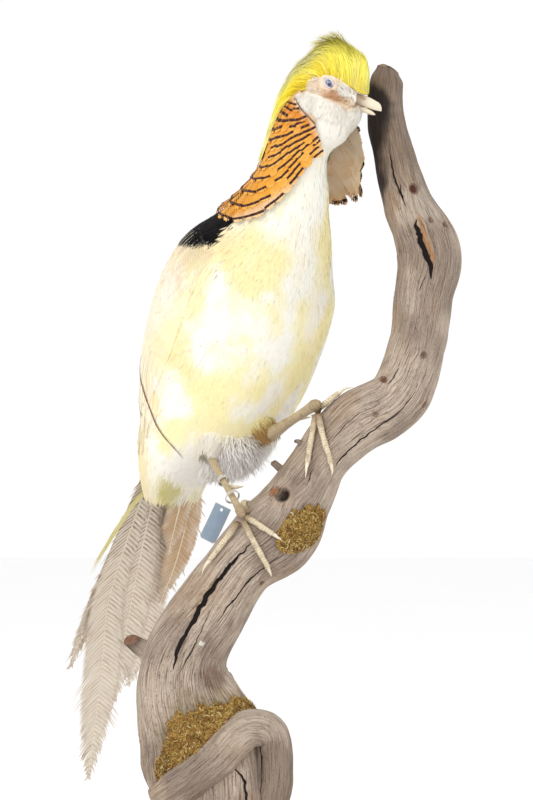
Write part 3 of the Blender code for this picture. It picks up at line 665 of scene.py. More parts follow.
def skin_tone(points):
    """Colour all over the skin."""
    s, angle = body_place(points)
    local = in_head(points)
    tone = body_tone(s, angle, points)
    tone = blend(0.9 * cape_share(s, angle), tone, GOLD)
    tone = blend(head_share(local), tone, face_tone(local))
    tone = blend(head_share(local) * crown_share(local), tone, YELLOW)
    hock = np.linalg.norm(points - LEFT_HOCK, axis=-1) + 6 * (noise(points, 5.0, 25, 2) - 0.5)
    return blend(0.85 * step(hock, 19.0, 12.0), tone, HOCK_BROWN)


# %% The skin
def skin_finish():
    """Dry skin: its marking, mottled, over a fine pebbled relief."""
    finish = Finish("bird_skin", Sheen_Weight=0.15)
    place = finish.place()
    mottle, pores = finish.noise(place, 260.0), finish.noise(place, 2400.0, 2.0)
    tone = finish.mix(0.35, finish.attribute("tone", "Color"),
                      finish.mix(mottle, (0.62, 0.6, 0.58), (1, 1, 1)),
                      "MULTIPLY")
    return finish.done(tone, 0.62 + mottle * 0.25, mottle * 0.5 + pores, 0.35, 0.0005)


skin_local = in_head(skin_points)
bare = head_share(skin_local) * (1 - crown_share(skin_local))
skin_s, skin_angle = body_place(skin_points)
skin_depth = COAT_DEPTH + (FACE_DEPTH - COAT_DEPTH) * bare + GROW + RUMP_DEPTH * step(skin_s, 1.6, 0.5)
skin_depth = skin_depth + throat_hollow(skin_s, skin_angle) * step(skin_s, 10.2, 9.4)
wrinkles = 0.18 * bare * (noise(skin_local * (1, 1, 2.2), 2.6, 12, 2) - 0.5)
skin_points = skin_points - skin_normals * (skin_depth - wrinkles)[:, None]
skin_map = np.stack([skin_s / 11.2 + 0.005, (skin_angle + 180) / 362], axis=1)
skin = piece_from("skin", skin_points, skin_faces, skin_finish(), "plumage_cream", skin_tone(skin_points),
                  maps={"OFBake": skin_map}, replaces=REPLACED)

# %% [markdown]
# ## Locks of feather
#
# The coat is solid mesh. Its unit is a lock: a narrow, pointed blade with a low ridge, closed at
# the root, that follows the lie of the plumage. Thousands of them lie like roof tiles, the root of
# each under the tips of the ones before. Large feathers are made of the same locks, laid side by
# side as barbs along a shaft. Each lock has its own small patch in the map `OFBake`, at its
# root's place on the unwrapped body.

# %% The mesh of many locks
PATCH = 0.003  # side of a lock's patch in OFBake


class Coat:
    """Collects batches of locks and makes one piece of them."""

    def __init__(self):
        self.points, self.faces, self.turned = [], [], []
        self.tones, self.maps, self.normals = [], [], []
        self.count = 0

    def add(self, path, out, half_width, ridge, tone, root, softness=0.7):
        """Locks along path (n, k, 3), with their outward directions and half widths at each row.

        Every row but the last is a ring of three points: path - w side, path + ridge out,
        path + w side, where side = heading x out. The last row is the pointed tip. tone is
        (n, k, 3) and root (n, 2) is the place of each lock's patch in the map. Normals are out
        times softness, plus the ring's own way."""
        n, k = path.shape[:2]
        heading = unit(np.gradient(path, axis=1))
        side = unit(np.cross(heading, out))
        up = unit(np.cross(side, heading))
        wide, high = half_width[:, :-1, None], np.asarray(ridge)[..., None]
        if high.ndim == 2:
            high = high[:, None]
        high = np.broadcast_to(high, (n, k, 1))[:, :-1]
        ring = np.stack([path[:, :-1] - wide * side[:, :-1], path[:, :-1] + high * up[:, :-1],
                         path[:, :-1] + wide * side[:, :-1]], axis=2)
        points = np.concatenate([ring.reshape(n, -1, 3), path[:, -1:]], axis=1)
        lean = np.array((-0.55, 0.0, 0.55))[None, None, :, None] * side[:, :-1, None]
        own = (1 - softness) * up[:, :-1, None] + (1 - softness) * lean
        normal = unit(unit(out[:, :-1, None]) * softness + own)
        normal = np.concatenate([normal.reshape(n, -1, 3), unit(out[:, -1:])], axis=1)
        shades = np.concatenate([np.repeat(tone[:, :-1], 3, axis=1), tone[:, -1:]], axis=1)
        rows = np.linspace(0, 1, k)
        local = np.stack(np.broadcast_arrays(np.array((-0.5, 0, 0.5))[None, :], rows[:-1, None]), -1)
        local = local.reshape(-1, 2)
        local = np.concatenate([local, [(0.0, 1.0)]]) * PATCH
        size = 3 * (k - 1) + 1
        i = 3 * np.arange(k - 2)[:, None]
        quads = np.concatenate([i + (0, 1, 4, 3), i + (1, 2, 5, 4), i + (2, 0, 3, 5)])
        last = 3 * (k - 2)
        threes = np.array([(last, last + 1, size - 1), (last + 1, last + 2, size - 1),
                           (last + 2, last, size - 1), (0, 2, 1)])
        start = self.count + size * np.arange(n)[:, None, None]
        self.faces += [(start + quads).reshape(-1, 4), (start + threes).reshape(-1, 3)]
        self.turned += [np.tile(np.arange(len(quads)) >= 2 * (k - 2), n), np.tile(np.arange(4) >= 2, n)]
        self.points.append(points.reshape(-1, 3))
        self.normals.append(normal.reshape(-1, 3))
        self.tones.append(shades.reshape(-1, 3))
        self.maps.append((root[:, None] + local).reshape(-1, 2))
        self.count += n * size

    def piece(self, name, material, slot, replaces=()):
        """The mesh of all locks added so far."""
        maps = {"OFBake": np.clip(np.concatenate(self.maps), 0, 1)}
        return piece_from(name, np.concatenate(self.points), self.faces, material, slot,
                          np.concatenate(self.tones), maps=maps, normals=np.concatenate(self.normals),
                          replaces=replaces, turned=np.concatenate(self.turned))


def feather_finish(name, roughness=0.62, streak=0.05, sheen=0.01, gloss=0.12):
    """Plumage: its marking, with the finest streaks of light and dark, and a silky sheen."""
    finish = Finish(name, Sheen_Weight=sheen, Sheen_Roughness=0.45, Specular_IOR_Level=gloss)
    place = finish.place()
    fine, broad = finish.noise(place, 1500.0, 2.0), finish.noise(place, 220.0, 2.0)
    tone = finish.mix(fine * (2.2 * streak) + broad * streak, finish.attribute("tone", "Color"),
                      (0.40, 0.32, 0.24), "MULTIPLY")
    return finish.done(tone, roughness + fine * 0.15, fine, 0.25, 0.0003)


silk = feather_finish("silk_plumage")

# %% Where locks grow
class Ground:
    """A surface for locks: point(t, angle, lift), its stations' length, and its part of the map."""

    def __init__(self, point, centres, corner=(0.005, 0.0), size=(0.985, 0.995)):
        self.point, self.corner, self.size = point, np.array(corner), np.array(size)
        self.t = np.linspace(0, len(centres) - 1, 441)
        steps = np.linalg.norm(np.diff(along(centres, self.t), axis=0), axis=1)
        self.length = np.concatenate([[0], np.cumsum(steps)])
        self.rates = steps / (self.t[1] - self.t[0])

    def rate(self, t):
        """Millimetres for one station."""
        return np.interp(t, self.t[:-1], self.rates)

    def radius(self, t, angle):
        """Millimetres for one radian round the surface."""
        step_round = np.linalg.norm(self.point(t, angle + 4.0) - self.point(t, angle), axis=-1)
        return np.maximum(step_round / math.radians(4.0), 4.0)

    def root(self, t, angle):
        """A lock's place in the map, from its station and angle."""
        share = np.stack([t / self.t[-1], (np.asarray(angle) + 180.0) % 360.0 / 360.0], axis=-1)
        return self.corner + self.size * share

    def spread(self, low, high, row_gap, gap, seed, span=(-180.0, 180.0)):
        """Roots (t, angle) in rows from station low to high.

        The rows are row_gap apart along the surface and the roots gap apart round it, in mm."""
        rng = np.random.default_rng(seed)
        ends = np.interp((low, high), self.t, self.length)
        rows = np.interp(np.arange(*ends, row_gap), self.length, self.t)
        turns = np.linspace(*span, 73)
        places = self.point(np.repeat(rows, 73), np.tile(turns, len(rows))).reshape(len(rows), 73, 3)
        reach = np.cumsum(np.linalg.norm(np.diff(places, axis=1), axis=2), axis=1)
        reach = np.concatenate([np.zeros((len(rows), 1)), reach], axis=1)
        counts = np.maximum(1, (reach[:, -1] / gap).astype(int))
        row = np.repeat(np.arange(len(rows)), counts)
        order = np.arange(len(row)) - np.repeat(np.cumsum(counts) - counts, counts)
        share = (order + 0.5 * (row % 2) + rng.uniform(-0.3, 0.3, len(row))) / counts[row]
        offset = 1e4 * np.arange(len(rows))
        angle = np.interp(share % 1.0 * reach[row, -1] + offset[row], (reach + offset[:, None]).ravel(),
                          np.tile(turns, len(rows)))
        return rows[row] + rng.uniform(-0.4, 0.4, len(row)) * row_gap / self.rate(rows[row]), angle, rng

    def lie(self, t, angle, length, lift, drift=0.0, bend=0.0, course=-1.0):
        """Paths of locks from (t, angle) along the surface, and their outward directions.

        t moves by course length / rate, the angle by drift share + bend share^2 (degrees), and the
        height runs through lift, which has a value for each row."""
        lift = np.asarray(lift, float)
        share = np.linspace(0, 1, lift.shape[-1])
        at_t = t[:, None] + course * np.asarray(length)[:, None] * share / self.rate(t)[:, None]
        drift, bend = np.asarray(drift)[..., None], np.asarray(bend)[..., None]
        at_angle = angle[:, None] + drift * share + bend * share**2
        lift = np.broadcast_to(lift, at_t.shape)
        path = self.point(at_t, at_angle, lift)
        return path, unit(self.point(at_t, at_angle, lift + 1.0) - path)


def swell_of_wing(s, angle):
    """Height of the folded wing over the body, as on its solid."""
    share = (WING_STATIONS[0] - s) / (WING_STATIONS[0] - WING_STATIONS[1])
    knots = np.linspace(0, 1, 5)
    low, high = np.interp(share, knots, WING_LOWER_ANGLE), np.interp(share, knots, WING_UPPER_ANGLE)
    thick = np.interp(share, knots, WING_THICKNESS)
    across = (np.abs(angle) - low) / (high - low)
    inside = step(across, -0.45, 0.4) * step(across, 1.2, 0.85)
    inside = inside * step(share, -0.18, 0.12) * step(share, 1.1, 0.9)
    return inside * (1.2 + thick * (0.45 + 0.55 * np.sin(np.pi * (0.08 + 0.84 * np.clip(across, 0, 1)))))


WING_STATIONS = (5.5, 0.85)
WING_LOWER_ANGLE, WING_UPPER_ANGLE = (98.0, 84.0, 86.0, 98.0, 118.0), (140.0, 158.0, 166.0, 170.0, 168.0)
WING_THICKNESS = (3.0, 7.0, 6.5, 5.0, 2.4)


def feathered(s, angle, lift=0.0):
    """The outer surface of body and folded wing."""
    return body_point(s, angle, swell_of_wing(s, angle) - throat_hollow(s, angle) + lift)


body_ground = Ground(feathered, BODY[:, :3])


def shaded(tone, rows, root_shade=0.80, tip_light=1.04, rng=None, vary=0.05):
    """Tones (n, rows, 3): painted shade at the root and painted light at the tip, each lock a bit different.
    """
    ramp = np.interp(np.linspace(0, 1, rows), (0, 0.45, 1), (root_shade, 1.0, tip_light))
    own = 1.0 if rng is None else 1 + vary * rng.standard_normal((len(tone), 1, 1))
    return np.clip(tone[:, None] * ramp[None, :, None] * own, 0, 0.97)


# %% [markdown]
# ## Body plumage
#
# Breast, belly, flanks and back are covered in silky, hair-like feathers. Rows of locks start at
# the neck and run towards the tail. They are finest on the neck and longer on the lower body, and
# none grow where cape or wing covers them with feathers of their own. Cheek and ear have down of
# their own, the shortest on the body. Behind the ear it overlies the front of the cape.

# %% Body coat
def locks_piece(name, material, slot, locks, replaces=()):
    """The piece of one batch of locks, given by the values of Coat.add in their order."""
    coat = Coat()
    coat.add(*locks)
    return coat.piece(name, material, slot, replaces)


LOCK_LIFT, LOCK_TAPER = np.array([-1.3, -0.5, -0.15, -0.05]), np.array([0.85, 1.0, 0.8, 0.0])


def body_coat(name, low, high, row_gap, gap, length, width, seed, keep, rise=0.0):
    """Locks on the body from station low to high, wherever keep(s, angle) is true.

    rise lifts them by that much on the right side, above the cape's front."""
    s, angle, rng = body_ground.spread(low, high, row_gap, gap, seed)
    kept = keep(s, angle)
    s, angle = s[kept], angle[kept]
    n = len(s)
    own = length * rng.uniform(0.75, 1.25, n)
    drift = rng.normal(0, 3.0, n) * length / 14
    lift = LOCK_LIFT[None] + rise * step(angle, 90, 112)[:, None]
    lift = lift + rng.uniform(-0.15, 0.25, (n, 1)) * np.linspace(0, 1, 4)
    path, out = body_ground.lie(s, angle, own, lift, drift, rng.normal(0, 2.0, n))
    widths = width * rng.uniform(0.7, 1.3, (n, 1)) * LOCK_TAPER
    tone = body_tone(s - 0.3 * own / body_ground.rate(s), angle, path[:, 2])
    local = in_head(path[:, 2])
    tone = blend(head_share(local), tone, face_tone(local))
    coat = Coat()
    coat.add(path, out, widths, 0.16 * widths.max(axis=1), shaded(tone, 4, 0.965, 1.015, rng, 0.02),
             body_ground.root(s, angle), 0.86)
    return coat.piece(name, silk, "plumage_cream")


def bare_of_wing(s, angle):
    """Where no wing covers the body."""
    return swell_of_wing(s, angle) < 3.0


def on_head(s, angle):
    """head_share of the body's surface."""
    return head_share(in_head(body_point(s, angle)))


body_coat("plumage_belly", 0.95, 3.3, 3.1, 1.25, 21.0, 1.45, 101, bare_of_wing)
body_coat("plumage_breast", 3.3, 5.4, 3.2, 1.3, 17.0, 1.4, 102, bare_of_wing)
body_coat("plumage_throat", 5.4, 10.6, 2.5, 1.1, 11.0, 1.05, 103,
          lambda s, a: (cape_share(s, a) < 0.5) & (on_head(s, a) < 0.7))
body_coat("cheek_down", 9.4, 10.97, 1.25, 0.8, 5.0, 0.42, 104,
          lambda s, a: (cape_share(s, a) < 0.5) & (on_head(s, a) > 0.4))
body_coat("ear_down", 9.95, 10.97, 1.1, 0.75, 3.8, 0.42, 105,
          lambda s, a: (a > 88) & (a < cape_front(s - 0.18) - 2), rise=3.2)

# %% [markdown]
# ## Large feathers
#
# A large feather has a stiff shaft with barbs on both sides. Each barb is one lock: it leaves the
# shaft at a slant and bends towards the tip, and the barbs' ends draw the rounded outline. The
# same few lines make wing coverts, flight feathers and the cape, with other sizes and tones.


# %% Feathers from barbs
def outline(share, blunt):
    """Half width of a feather along its shaft, as a share of the widest: it swells, then rounds off."""
    return np.sin(np.pi * np.clip(share, 0, 1) ** 0.65) ** 0.5 * (1 - blunt * share) + 0.06


def barb_width(rows):
    """Half width of a barb at each of its rows, as a share of the gap between barbs."""
    if rows == 4:
        return np.array([0.75, 0.8, 0.7, 0.0])
    return np.interp(np.linspace(0, 1, rows), (0, 0.5, 0.8, 1), (0.75, 0.8, 0.7, 0))


def add_feathers(coat, ground, s, angle, length, half, turn, lifts, barbs, tone_of, rows=4, slant=1.0,
                 camber=0.5, blunt=0.15, shaft_tone=None, rng=None):
    """Adds feathers rooted at (s, angle) to a coat and gives back the barbs' places along and across.

    In a flat map of millimetres round the root, x runs to the tip and y across. The shaft point at
    share a is (length a, 0), and its barb runs to (length a + slant w, w) with w = half outline(a).
    turn rotates the map, lifts = (root, tip) raises it, and the surface bends it round the bird.
    Every tone_of takes (station, angle, x, y, length) and uses those it needs."""
    f = len(s)
    share = np.tile(np.linspace(0.04, 0.97, barbs), 2)
    hand = np.repeat((-1.0, 1.0), barbs)
    m = np.linspace(0, 1, rows)
    size = half[:, None] * outline(share, blunt)[None]
    if rng is not None:
        size = size * rng.uniform(0.86, 1.1, size.shape)
    reach = np.minimum(slant * size, (1.03 - share) * length[:, None] + 0.3)
    x = length[:, None, None] * share[None, :, None] + reach[..., None] * m**1.25
    y = (hand * size)[..., None] * m**0.9
    along_share = np.clip(x / length[:, None, None], 0, 1)
    low, high = (np.asarray(v, float).reshape(-1, 1, 1) for v in lifts)
    lift = low + (high - low) * along_share + camber * (1 - (y / half[:, None, None]) ** 2)
    spin = np.radians(turn)[:, None, None]
    dx, dy = x * np.cos(spin) - y * np.sin(spin), x * np.sin(spin) + y * np.cos(spin)
    rate, radius = ground.rate(s), ground.radius(s, angle)
    at_s = s[:, None, None] - dx / rate[:, None, None]
    at_angle = angle[:, None, None] + np.degrees(dy / radius[:, None, None])
    path = ground.point(at_s, at_angle, lift)
    out = unit(ground.point(at_s, at_angle, lift + 1.0) - path)
    tone = tone_of(at_s, at_angle, x, y, length[:, None, None])
    gap = length / barbs
    widths = np.broadcast_to(gap[:, None, None] * barb_width(rows), (f, 2 * barbs, rows))
    root = ground.root(at_s[..., 0], at_angle[..., 0]).reshape(-1, 2)
    n = f * 2 * barbs
    coat.add(path.reshape(n, rows, 3), out.reshape(n, rows, 3), widths.reshape(n, rows),
             np.repeat(0.12 * gap, 2 * barbs), tone.reshape(n, rows, 3), root, 0.8)
    if shaft_tone is not None:
        k = np.linspace(0, 1, 7)
        dx = length[:, None] * k * np.cos(spin[..., 0])
        dy = length[:, None] * k * np.sin(spin[..., 0])
        lift = low[..., 0] + (high - low)[..., 0] * k + camber + 0.12
        at_s = s[:, None] - dx / rate[:, None]
        at_angle = angle[:, None] + np.degrees(dy / radius[:, None])
        path = ground.point(at_s, at_angle, lift)
        out = unit(ground.point(at_s, at_angle, lift + 1.0) - path)
        widths = 0.035 * half[:, None] * np.linspace(1.6, 0.0, 7) + 0.06
        coat.add(path, out, widths, 0.25 + 0 * half, np.broadcast_to(shaft_tone, path.shape),
                 ground.root(s, angle))
    return x, y


# %% [markdown]
# ## Folded wings
#
# The wings lie folded on the flanks. Short coverts overlap on the shoulder, longer ones follow
# below, and the flight feathers show as a stack of narrow edges that runs back over the rump. In
# this yellow form they are cream and beige, with a thin brown edge to each long feather.

# %% Wing feathers
def wing_band(count_s, s_from, s_to, shares, length, half, seed):
    """Roots in the wing's own grid, share 0 at its lower edge and 1 at its upper."""
    rng = np.random.default_rng(seed)
    s, across = np.meshgrid(np.linspace(s_from, s_to, count_s), shares, indexing="ij")
    across = across + (np.arange(count_s)[:, None] % 2) * 0.5 * (shares[1] - shares[0])
    share = (WING_STATIONS[0] - s) / (WING_STATIONS[0] - WING_STATIONS[1])
    knots = np.linspace(0, 1, 5)
    low, high = np.interp(share, knots, WING_LOWER_ANGLE), np.interp(share, knots, WING_UPPER_ANGLE)
    angle = low + (high - low) * across
    n = s.size
    return (s.ravel() + rng.uniform(-0.03, 0.03, n), angle.ravel() + rng.uniform(-1, 1, n),
            length * rng.uniform(0.92, 1.08, n), half * rng.uniform(0.92, 1.08, n), rng)


BROWN_EDGE, FLIGHT_BEIGE, FLIGHT_BASE = (0.34, 0.24, 0.16), (0.80, 0.68, 0.54), (0.70, 0.58, 0.33)


def covert_tone(at_s, at_angle, x, y, length):
    """Cream with a warm middle and a pale rim, and painted shade at the root."""
    places = body_point(at_s, at_angle)
    tone = body_tone(at_s, at_angle, places)
    tone = blend(0.5 * step(np.abs(at_angle), 92, 118), tone, PINK_BEIGE)
    rim = step(x / length, 0.80, 1.0)
    # The root is made 4% darker as painted shade under the feather before it.
    tone = blend(0.12 * rim, tone * (0.96 + 0.04 * step(x / length, 0.1, 0.5))[..., None], WHITE)
    return blend(mantle_share(at_s, np.abs(at_angle)), tone, BLACK_PURPLE)


def flight_tone(at_s, at_angle, x, y, length):
    """Pale beige with faint bars, and a thin brown line on the lower edge."""
    bars = 0.5 + 0.5 * np.sin(x * 0.85 + 1.6 * noise(np.stack([x, y, 0 * x], -1), 9.0, 41))
    tone = blend(0.25 * step(bars, 0.45, 0.9), WHITE, FLIGHT_BEIGE)
    tone = blend(0.35 + 0 * x, tone, LEMON)
    tone = blend(0.7 * step(at_s, 2.5, 1.3), tone, FLIGHT_BASE)
    edge = step(np.abs(y), 3.9, 5.2) * (y * np.sign(at_angle) < 0) * step(at_s, 3.4, 2.6)
    return blend(0.2 * edge, tone, BROWN_EDGE)


def build_wing(side, sign):
    """Three bands of feathers, the longest and lowest first."""
    bands = (  # rows, from s, to s, shares across, length, half width, barbs, lift root and tip, tone
        (4, 3.9, 2.6, np.linspace(0.10, 0.98, 9), 70.0, 6.4, 32, (-1.2, 0.3), flight_tone),
        (5, 4.7, 3.3, np.linspace(0.02, 0.96, 10), 50.0, 7.2, 24, (-0.9, 0.2), covert_tone),
        (11, 5.6, 3.9, np.linspace(-0.08, 1.0, 11), 25.0, 6.8, 14, (-0.9, 0.25), covert_tone),
    )
    coat = Coat()
    for i, (rows, start, end, shares, length, half, barbs, lifts, tone_of) in enumerate(bands):
        s, angle, long, wide, rng = wing_band(rows, start, end, shares, length, half, 200 + i)
        turn = sign * rng.normal(-3.0 if length > 60 else -1.0, 1.5, len(s))
        long = np.minimum(long, np.interp(s, body_ground.t, body_ground.length) - 16.0)
        add_feathers(coat, body_ground, s, sign * angle, long, wide, turn, lifts, barbs, tone_of,
                     slant=1.3, camber=0.2, shaft_tone=(0.92, 0.86, 0.70), rng=rng)
    return coat.piece("feathers_wing_" + side, silk, "plumage_cream", ("wing_" + side,))


for side, sign in (("right", 1), ("left", -1)):
    build_wing(side, sign)

# %% The dark edge of the wing
WING_LINE = np.array([  # station, angle
    (3.05, 150.0), (2.7, 126.0), (2.45, 108.0), (2.25, 94.0), (2.08, 80.0), (1.97, 60.0), (1.83, 42.0)])
LINE_BROWN = (0.20, 0.13, 0.09)
CAPE_LINE = np.array([(10.62, 134.0), (10.22, 117.0), (9.98, 102.0), (9.83, 88.0), (9.70, 79.0)])


def dark_line(name, line, height, seed):
    """Thin dark locks end to end, u from 0 to the last row along a line of (s, angle)."""
    rng = np.random.default_rng(seed)
    n, k = 80, 6
    last = len(line) - 1
    u = np.sort(rng.uniform(0, last - 0.7, n))[:, None] + np.linspace(0, 0.65, k)
    place = along(line, u)
    s, angle = place[..., 0], place[..., 1] + rng.normal(0, 0.3, (n, 1))
    path = feathered(s, angle, height + 0 * s)
    out = unit(feathered(s, angle, height + 1.0 + 0 * s) - path)
    widths = rng.uniform(0.35, 0.7, (n, 1)) * np.array([0.5, 1, 1, 1, 0.6, 0])
    widths = widths * np.interp(u[:, :1] / last, (0, 0.25, 0.65, 1), (0.3, 1, 1, 0.15))
    tone = np.broadcast_to(LINE_BROWN, (n, 3)) * rng.uniform(0.7, 1.5, (n, 1))
    root = body_ground.root(s[:, 0], angle[:, 0])
    return locks_piece(name, silk, "plumage_cream",
                       (path, out, widths, np.full(n, 0.15), shaded(tone, k), root))


dark_line("wing_edge_right", WING_LINE, 1.3, 241)
dark_line("wing_edge_left", WING_LINE * (1, -1), 1.3, 242)
dark_line("cape_edge_right", CAPE_LINE, 3.2, 243)

# %% [markdown]
# ## The barred cape
#
# The cape is the ruff of broad golden feathers round the neck. Each feather ends in a dark bar, and
# together the bars draw lines round the neck. On the right the cape lies on the neck and shoulder.
# On the left it is fanned out, so that its plain tan underside shows from the front.

# %% Cape finish
def cape_finish(name, bar_tone):
    """The marking, crossed by a dark bar wherever the value `bar`, in millimetres, is near 0."""
    finish = Finish(name, Sheen_Weight=0.04, Sheen_Roughness=0.4, Specular_IOR_Level=0.3)
    place = finish.place()
    fine, ragged = finish.noise(place, 1300.0, 2.0), finish.noise(place, 420.0, 2.0)
    width = finish.attribute("bar").size() + ragged * 0.5
    dark = 1 - width.above(1.05, 1.4)
    tone = finish.mix(fine * 0.35, finish.attribute("tone", "Color"), (0.42, 0.20, 0.08), "MULTIPLY")
    return finish.done(finish.mix(dark, tone, bar_tone), 0.5 + fine * 0.15, fine, 0.3, 0.0003)


# %% Cape tones
ORANGE, RED_ORANGE, CAPE_GOLD = (0.86, 0.38, 0.03), (0.74, 0.25, 0.015), (0.88, 0.50, 0.09)
CAPE_EDGE, CAPE_RIM, CAPE_SHAFT = (0.88, 0.66, 0.42), (0.92, 0.60, 0.18), (0.84, 0.55, 0.22)
UNDERSIDE = (0.95, 0.80, 0.58)


def cape_tone(at_s, at_angle, x, y, length):
    """Golden orange, redder near the head, pale at the front edge and at each feather's rim."""
    side = np.abs(at_angle)
    places = body_point(at_s, at_angle)
    mottle = noise(places, 9.0, 61, 2)
    tone = blend(step(at_s + 0.8 * (mottle - 0.5), 8.6, 9.9), ORANGE, RED_ORANGE)
    tone = blend(0.5 * step(mottle, 0.45, 0.75), tone, CAPE_GOLD)
    tone = blend(0.85 * step(side - cape_front(at_s), 19, 4), tone, CAPE_EDGE)
    return blend(0.25 * step(x / length, 0.86, 1.0), tone, CAPE_RIM)


def station_at(level, angle):
    """The station where cape_level equals level at an angle, by eight rounds of correction."""
    s = level + 0.5
    for _ in range(8):
        s = s - (cape_level(s, angle) - level)
    return s


def cape_roots(seed, level_from, level_to, gap_low, gap_high, angles):
    """Rows of feathers, given by their tips, which lie on lines of equal cape level."""
    rng = np.random.default_rng(seed)
    found = []
    level = level_from
    while level < level_to:
        f = (level - level_from) / (level_to - level_from)
        gap = gap_low + (gap_high - gap_low) * f
        dense = np.linspace(*angles, 400)
        places = body_point(station_at(level, dense), dense, 3.0)
        reach = path_length(places)
        count = max(4, int(reach[-1] / gap))
        at = (np.arange(count) + 0.5 + rng.uniform(-0.18, 0.18, count)) / count * reach[-1]
        tip_angle = np.interp(at, reach, dense)
        found.append(np.stack([tip_angle, level + rng.normal(0, 0.008, count), np.full(count, gap)], 1))
        level += gap / 22.0
    tip_angle, level, gap = np.concatenate(found).T
    tip_s = station_at(level, tip_angle)
    keep = (tip_angle < 0) | (cape_share(tip_s + 0.05, tip_angle - 9.0 * step(tip_s, 9.2, 9.6)) > 0.3)
    return tip_s[keep], tip_angle[keep], gap[keep], rng


def downhill(s, angle):
    """Degrees between the tail direction and the way the cape level falls fastest."""
    by_s = (cape_level(s, angle) - cape_level(s - 0.05, angle)) / 0.05 / body_ground.rate(s)
    by_angle = (cape_level(s, angle) - cape_level(s, angle + 2.0)) / np.radians(2.0)
    by_angle = by_angle / body_ground.radius(s, angle)
    return np.degrees(np.arctan2(by_angle, by_s))


# %% Right cape
FAR_FROM_BAR = 9.0


def on_right_cape(s, angle, lift=0.0):
    """The surface the cape lies on: 1.6 above the body at the head, 3.4 lower down."""
    return body_point(s, angle, 1.6 + 1.8 * step(s, 9.6, 8.0) + lift)


def add_cape(coat, bars, ground, tip_s, tip_angle, gap, rng, tone_of, lifts=(-1.6, 1.2), barbs=13,
             inset=2.0, wide=0.66):
    """Places cape feathers by their tips and keeps, for each point, its distance from the dark bar.

    A feather is 2.5 gaps long and its half width is wide gaps. One in eight has no bar."""
    turn = downhill(tip_s, tip_angle) + rng.normal(0, 1.5, len(tip_s))
    length = gap * 2.5
    root_s = tip_s + length * np.cos(np.radians(turn)) / ground.rate(tip_s)
    root_angle = tip_angle - np.degrees(length * np.sin(np.radians(turn)) / ground.radius(tip_s, tip_angle))
    front = cape_front(root_s) - np.interp(root_s, (9.9, 10.3), (9.0, 4.0))
    held = (tip_s < 9.3) | (tip_angle < 0) | (root_angle > front)
    turn, length, gap = turn[held], length[held], gap[held]
    tip_s, tip_angle, root_s, root_angle = tip_s[held], tip_angle[held], root_s[held], root_angle[held]
    before = len(coat.points)
    x, y = add_feathers(coat, ground, root_s, root_angle, length, gap * wide, turn, lifts, barbs, tone_of,
                        rows=5, slant=0.8, camber=0.5, blunt=0.02, shaft_tone=CAPE_SHAFT, rng=rng)
    wave = rng.normal(0, 0.2, len(tip_s))[:, None, None]
    from_tip = length[:, None, None] - x - inset + wave - 0.02 * y**2 / gap[:, None, None]
    missing = rng.uniform(0, 1, len(tip_s))[:, None, None] < 0.12
    bar = np.where(missing, FAR_FROM_BAR, from_tip).reshape(-1, 5)
    ahead, sideways = np.gradient(x, axis=2), np.gradient(y, axis=2)
    half = (length / barbs)[:, None, None] * barb_width(5)
    shift = (half * sideways / np.hypot(ahead, sideways)).reshape(-1, 5)
    three = np.stack([bar - shift, bar, bar + shift], axis=-1)[:, :-1].reshape(len(bar), -1)
    bars.append(np.concatenate([three, bar[:, -1:]], axis=1).ravel())
    bars.append(np.full(len(coat.points[before + 1]), FAR_FROM_BAR))


cape_orange = cape_finish("cape_gold", (0.045, 0.008, 0.006))


def cape_piece(coat, bars, name, replaces):
    """The cape's mesh with the value `bar` at each of its points."""
    made = coat.piece(name, cape_orange, "plumage_orange", replaces)
    values = np.concatenate(bars).astype(np.float32)
    made.data.attributes.new("bar", "FLOAT", "POINT").data.foreach_set("value", values)
    return made


coat, bars = Coat(), []
tip_s, tip_angle, gap, rng = cape_roots(301, 6.0, 10.45, 9.6, 5.0, (34.0, 182.0))
add_cape(coat, bars, Ground(on_right_cape, BODY[:, :3]), tip_s, tip_angle, gap, rng, cape_tone)
cape_piece(coat, bars, "cape_feathers_right", ("cape_right",))
print("right cape:", len(tip_s), "feathers")

# %% Left cape
LEFT_CAPE = np.array([  # side angle, top station, hem station, stand-off at the hem
    (40.0, 10.3, 7.75, 26.0), (60.0, 10.3, 7.30, 24.5), (80.0, 10.3, 7.0, 18.0),
    (105.0, 10.3, 6.60, 10.0), (140.0, 10.4, 6.10, 3.0), (178.0, 10.4, 5.95, 0.8)])


def on_left_cape(s, angle, lift=0.0):
    """The fanned sheet: it stands off the neck by 2 + stand-off share^0.45, share 1 at the hem."""
    rows = along(LEFT_CAPE, np.interp(-np.asarray(angle, float), LEFT_CAPE[:, 0], np.arange(6.0)))
    share = np.clip((rows[..., 1] - s) / (rows[..., 1] - rows[..., 2]), 0.001, 1.05)
    return body_point(s, angle, 2.0 + rows[..., 3] * share**0.45 + lift)


def inside_left_cape(s, angle, lift=0.0):
    """The sheet's inner face, which is seen from the front."""
    return on_left_cape(s, angle, -0.9 - lift)


def underside_tone(at_s, at_angle, x, y, length):
    """Plain tan with a paler shaft line and a darker rim."""
    tone = blend(noise(np.stack([x * 0.3, y, at_angle], -1), 3.0, 71, 2), UNDERSIDE, (0.97, 0.88, 0.70))
    tone = blend(0.35 * step(np.abs(y), 7.0, 8.6), tone, (0.66, 0.50, 0.33))
    return blend(0.7 * step(x / length, 0.84, 0.97), tone, (0.84, 0.62, 0.34))


coat, bars = Coat(), []
tip_s, tip_angle, gap, rng = cape_roots(311, 6.0, 10.1, 10.0, 5.6, (-178.0, -40.0))
add_cape(coat, bars, Ground(on_left_cape, BODY[:, :3]), tip_s, tip_angle, gap, rng, cape_tone,
         (-0.6, 0.6), 13, 0.9, 0.8)
cape_piece(coat, bars, "cape_feathers_left", ("cape_left",))

